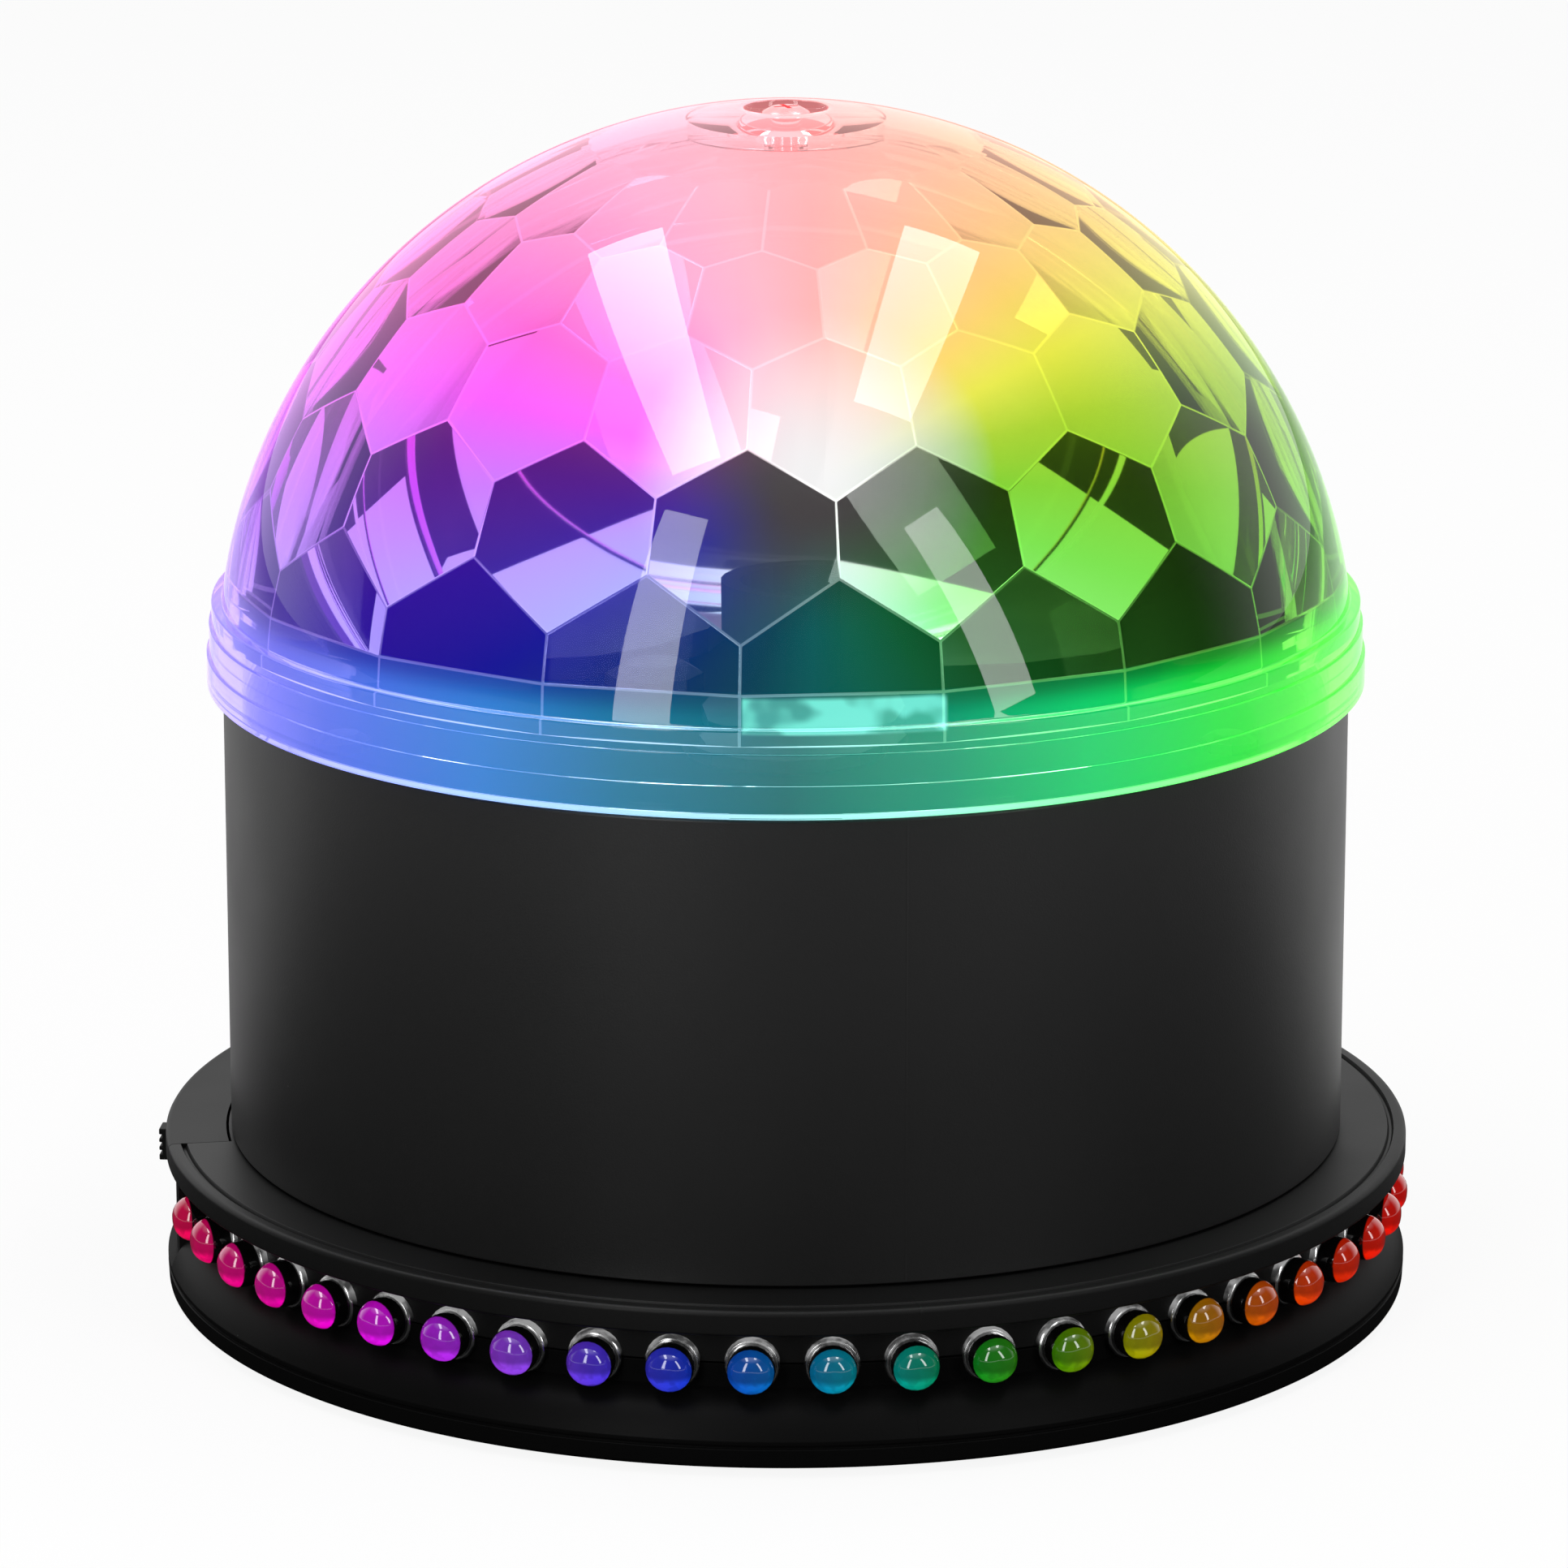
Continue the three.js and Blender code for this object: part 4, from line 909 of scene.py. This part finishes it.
# Painted highlight: the rounded ridges between the inner facets glow faint grey where they are seen through
# the plastic.
ridges = Finish("dome_edges")
from_within = ridges.node("ShaderNodeNewGeometry", output="Backfacing")
dome_edges = acrylic(ridges, 0.05, {
    "Emission Color": ridges.blend(from_within, grey(0.0), grey(0.2)),
    "Emission Strength": 1.0,
})
dome = made("dome", dome_mesh())
indices = [polygon.material_index for polygon in dome.data.polygons]
dressed(dome, None, "dome", "tinted_clear_plastic", "dome_lens", sharp=40.0)
dome.data.materials.clear()
for material in (dome_acrylic, dome_inside, dome_edges, dome_low, dome_recess):
    dome.data.materials.append(material)
dome.data.polygons.foreach_set("material_index", indices)

# Screw at the top of the dome: a pan-head machine screw with a cross recess. It and its washer are
# painted in the pink of the dome round them, with a faint pink glow of painted light. The base and the
# driver board have plain steel screws.
steel = Finish("screw_steel")
screw_steel = steel.finish({
    "Base Color": steel.blend(steel.noise(1500.0), grey(0.7), grey(0.84)),
    "Metallic": 1.0,
    "Roughness": steel.ramp(steel.noise(900.0, 4.0), 0.3, 0.7, 0.2, 0.36),
})
dome_screw = made("dome_screw_head", turned(softened([
    (0, 125.4), (1.25, 125.4, 0.2), (1.25, 128.2), (2.7, 128.2, 0.15), (2.7, 129.1, 0.6), (1.5, 129.7, 0.6),
    (0, 129.7),
]), 48))
carved(
    dome_screw,
    made("slot_a", box(0.55, -1.35, 1.35, 128.8, 130.4, 20)),
    made("slot_b", box(0.55, -1.35, 1.35, 128.8, 130.4, 110)),
)
pink = Finish("dome_screw_steel")
dome_screw_steel = pink.finish({
    "Base Color": pink.blend(pink.noise(1500.0), (0.85, 0.42, 0.43, 1), (0.95, 0.55, 0.56, 1)),
    "Metallic": 1.0,
    "Roughness": pink.ramp(pink.noise(900.0, 4.0), 0.3, 0.7, 0.16, 0.3),
    # Painted light: a faint pink glow.
    "Emission Color": linear((255, 110, 115), 0.25),
    "Emission Strength": 1.0,
})
dressed(dome_screw, dome_screw_steel, "dome", "screw_steel", "dome_screw")

# What stands under the clear dome: the deck, the lamps, and the drive with its clear pillar, all held
# by blackened screws. The pieces further down are hidden in the body and on the underside.
deck_plastic = moulded("deck_plastic", grey(0.004), grey(0.006), 0.85, level=0.0)
lens = Finish("lamp_glass")
lamp_glass = lens.finish({
    "Base Color": lens.blend(lens.noise(300.0), grey(0.01), grey(0.02)),
    "Roughness": lens.ramp(lens.noise(200.0), 0.3, 0.7, 0.4, 0.5),
    "IOR": 1.15,
})
pillar = Finish("pillar_acrylic")
pillar_acrylic = pillar.finish({
    "Base Color": pillar.blend(pillar.noise(200.0), grey(0.97), grey(1.0)),
    "Roughness": 0.02,
    "IOR": 1.0,
    "Transmission Weight": 1.0,
})
rubber = Finish("foot_rubber")
foot_rubber = rubber.finish({
    "Base Color": rubber.blend(rubber.noise(900.0), grey(0.012), grey(0.02)),
    "Roughness": rubber.ramp(rubber.noise(400.0), 0.3, 0.7, 0.75, 0.9),
    "Normal": rubber.bump(rubber.noise(3000.0), 0.0001, 0.4),
})
aluminium = Finish("bare_aluminium")
ax, ay, az = aluminium.axes()
drawn_out = aluminium.node("ShaderNodeCombineXYZ", {0: ax * 60, 1: ay * 4000, 2: az * 4000})
brushed = aluminium.noise(1.0, 3.0, drawn_out)
bare_aluminium = aluminium.finish({
    "Base Color": aluminium.blend(brushed, grey(0.55), grey(0.72)),
    "Metallic": 1.0,
    "Roughness": aluminium.ramp(brushed, 0.3, 0.7, 0.28, 0.42),
})
motor = Finish("motor_steel")
motor_steel = motor.finish({
    "Base Color": motor.blend(motor.noise(1200.0), grey(0.38), grey(0.5)),
    "Metallic": 1.0,
    "Roughness": motor.ramp(motor.noise(500.0), 0.3, 0.7, 0.25, 0.38),
})
white = Finish("white_board")
white_board = white.finish({
    "Base Color": white.blend(white.noise(700.0), grey(0.72), grey(0.8)),
    "Roughness": white.ramp(white.noise(500.0), 0.3, 0.7, 0.4, 0.55),
})
phosphor = Finish("emitter")
emitter = phosphor.finish({
    "Base Color": phosphor.blend(phosphor.noise(900.0), (0.85, 0.6, 0.08, 1), (0.95, 0.72, 0.15, 1)),
    "Roughness": phosphor.ramp(phosphor.noise(700.0), 0.3, 0.7, 0.25, 0.4),
    "Coat Weight": 0.5,
})
component = moulded("component_plastic", grey(0.012), grey(0.02), 0.4)
sleeve = Finish("lead_rubber")
lead_rubber = sleeve.finish({
    "Base Color": sleeve.blend(sleeve.noise(600.0), (0.02, 0.03, 0.07, 1), (0.03, 0.045, 0.09, 1)),
    "Roughness": sleeve.ramp(sleeve.noise(400.0), 0.3, 0.7, 0.38, 0.5),
})
oxide = Finish("blackened_screw")
black_screw = oxide.finish({
    "Base Color": oxide.blend(oxide.noise(1500.0), grey(0.003), grey(0.006)),
    "Roughness": oxide.ramp(oxide.noise(900.0, 4.0), 0.3, 0.7, 0.5, 0.65),
    "Specular IOR Level": 0.1,
})
worn_by = {
    "deck_plate": deck_plastic,
    "heat_sink": bare_aluminium,
    "lamp_board": white_board,
    "motor_body": motor_steel,
    "motor_bracket": motor_steel,
    "motor_shaft": motor_steel,
    "drive_hub": deck_plastic,
    "drive_pillar": pillar_acrylic,
    "dome_washer": dome_screw_steel,
    "driver_board": circuit_board,
    "filter_capacitor": component,
    "driver_chip": component,
    "lamp_lead": lead_rubber,
    "motor_lead": lead_rubber,
    "switch_body": component,
    "microphone": component,
    "sensitivity_pot": component,
}
for i in range(1, 5):
    worn_by[f"base_screw_{i}"] = screw_steel
    worn_by[f"foot_{i}"] = foot_rubber
for i in range(1, 4):
    worn_by[f"deck_screw_{i}"] = black_screw
    worn_by[f"heat_sink_screw_{i}"] = black_screw
    worn_by[f"lamp_emitter_{i}"] = emitter
    worn_by[f"lamp_lens_{i}"] = lamp_glass
for i in range(1, 3):
    worn_by[f"motor_screw_{i}"] = black_screw
    worn_by[f"board_screw_{i}"] = screw_steel
for name, material in worn_by.items():
    node = nodes[name]
    if not node.material_slots:
        node.data.materials.append(material)
    for material_slot in node.material_slots:
        material_slot.material = material

# Studio: a pale floor that keeps the light's shadow, a white surround, and four strip lights, two
# overhead and two upright in front. Near the object the floor is dark to every ray but the camera's,
# which puts painted shade on the base. A dark table and a low dark flag behind the light show only
# through the dome.
floor_mesh = bmesh.new()
bmesh.ops.create_circle(floor_mesh, cap_ends=True, segments=96, radius=3000.0)
floor = made("floor", floor_mesh)
paper = Finish("paper")
in_view, in_gloss, through = paper.rays()
seen = in_view * 0.9 + through
across, along, _ = paper.axes()
reach = (across * across + along * along) ** 0.5
back_wedge = along > abs(across) * 1.3
table = paper.ramp(reach + (1 - back_wedge) * 9.0, 0.145, 0.15, 0.012, 1.0)
table_colour = paper.node("ShaderNodeCombineColor", {0: table, 1: table, 2: table})
bright = paper.blend(paper.noise(20.0), grey(0.86), grey(0.88))
# Painted shade: to every ray but the camera's the floor is dark near the object and pale behind it only to
# glossy rays, so it casts little light back onto the base.
far_off = paper.ramp(reach, 0.18, 0.4)
beside = paper.ramp(along, 0.02, 0.1) * paper.ramp(across, -0.06, 0.08, 0.55, 1.0)
lit = paper.node("ShaderNodeBsdfDiffuse", {
    "Color": paper.blend(far_off.most(in_view) + beside * in_gloss, grey(0.03), bright),
})
plain = paper.node("ShaderNodeEmission", {
    "Color": paper.blend(through, grey(1.0), table_colour),
    "Strength": 1.0,
})
mixed = paper.node("ShaderNodeMixShader", {0: seen, 1: lit, 2: plain})
paper.node("ShaderNodeOutputMaterial", {"Surface": mixed})
floor.data.materials.append(paper.material)
flag = Finish("dark_flag")
flag_shader = flag.node("ShaderNodeEmission", {"Color": flag.blend(flag.noise(5.0), grey(0.01), grey(0.014))})
flag.node("ShaderNodeOutputMaterial", {"Surface": flag_shader})
flag_profile = [(150.0, 0.5), (151.0, 0.5), (151.0, 51.7), (150.0, 51.7)]
low_flag = made("low_flag", turned(flag_profile, 48, (142, 218)))
low_flag.data.materials.append(flag.material)
for sight in ("camera", "diffuse", "glossy", "shadow", "volume_scatter"):
    setattr(low_flag, f"visible_{sight}", False)

world = bpy.data.worlds.new("surround")
bpy.context.scene.world = world
world.use_nodes = True
sky = Tree(world.node_tree)
sky_in_view, sky_in_gloss, sky_through = sky.rays()
clear_view = sky_in_view.most(sky_through)
direction = sky.node("ShaderNodeTexCoord", output="Generated")
split = sky.node("ShaderNodeSeparateXYZ", {"Vector": direction}).socket.node.outputs
behind = sky.ramp(Wire(sky, split["Y"]), 0.0, 0.6)
above = sky.ramp(Wire(sky, split["Z"]), 0.66, 0.98)
mirrored = sky_in_gloss * (0.03 + behind.most(above) * 0.97)
soft_level = 0.4
level = clear_view + (1 - clear_view) * (mirrored + (1 - sky_in_gloss) * soft_level)
background = sky.node("ShaderNodeBackground", {"Color": grey(1.0), "Strength": level})
sky.node("ShaderNodeOutputWorld", {"Surface": background})


def softbox(name, start, end, width, power):
    """A strip light between two points, turned to the middle of the dome"""
    lamp = bpy.data.lights.new(name, "AREA")
    lamp.shape = "RECTANGLE"
    start, end = Vector(start), Vector(end)
    lamp.size = width
    lamp.size_y = (end - start).length
    lamp.energy = power
    holder = bpy.data.objects.new(name, lamp)
    bpy.context.scene.collection.objects.link(holder)
    holder.location = (start + end) / 2
    along = (end - start).normalized()
    back = holder.location - Vector((0, 0, CENTRE * MM))
    back = (back - along * back.dot(along)).normalized()
    holder.rotation_euler = Matrix((along.cross(back), along, back)).transposed().to_euler()


softbox("left_overhead", (-0.42, -0.85, 1.25), (-0.485, 0.58, 1.25), 0.24, 6.5)
softbox("right_overhead", (0.385, -0.52, 1.25), (0.47, 0.58, 1.25), 0.24, 5.0)
softbox("left_upright", (-0.53, -1.0, 0.05), (-0.465, -1.0, 1.05), 0.22, 4.1)
softbox("right_upright", (1.0, -1.0, 0.15), (0.66, -1.0, 1.07), 0.22, 4.1)

# Camera, at the photograph's angle
view = bpy.data.cameras.new("camera")
view.sensor_width = 36.0
view.lens = 171.4
camera = bpy.data.objects.new("camera", view)
bpy.context.scene.collection.objects.link(camera)
camera.location = (-0.0002, -0.7849, 0.2622)
camera.rotation_euler = (math.radians(90 - 14.77), 0, 0)
bpy.context.scene.camera = camera
bpy.context.scene.view_settings.view_transform = "Standard"
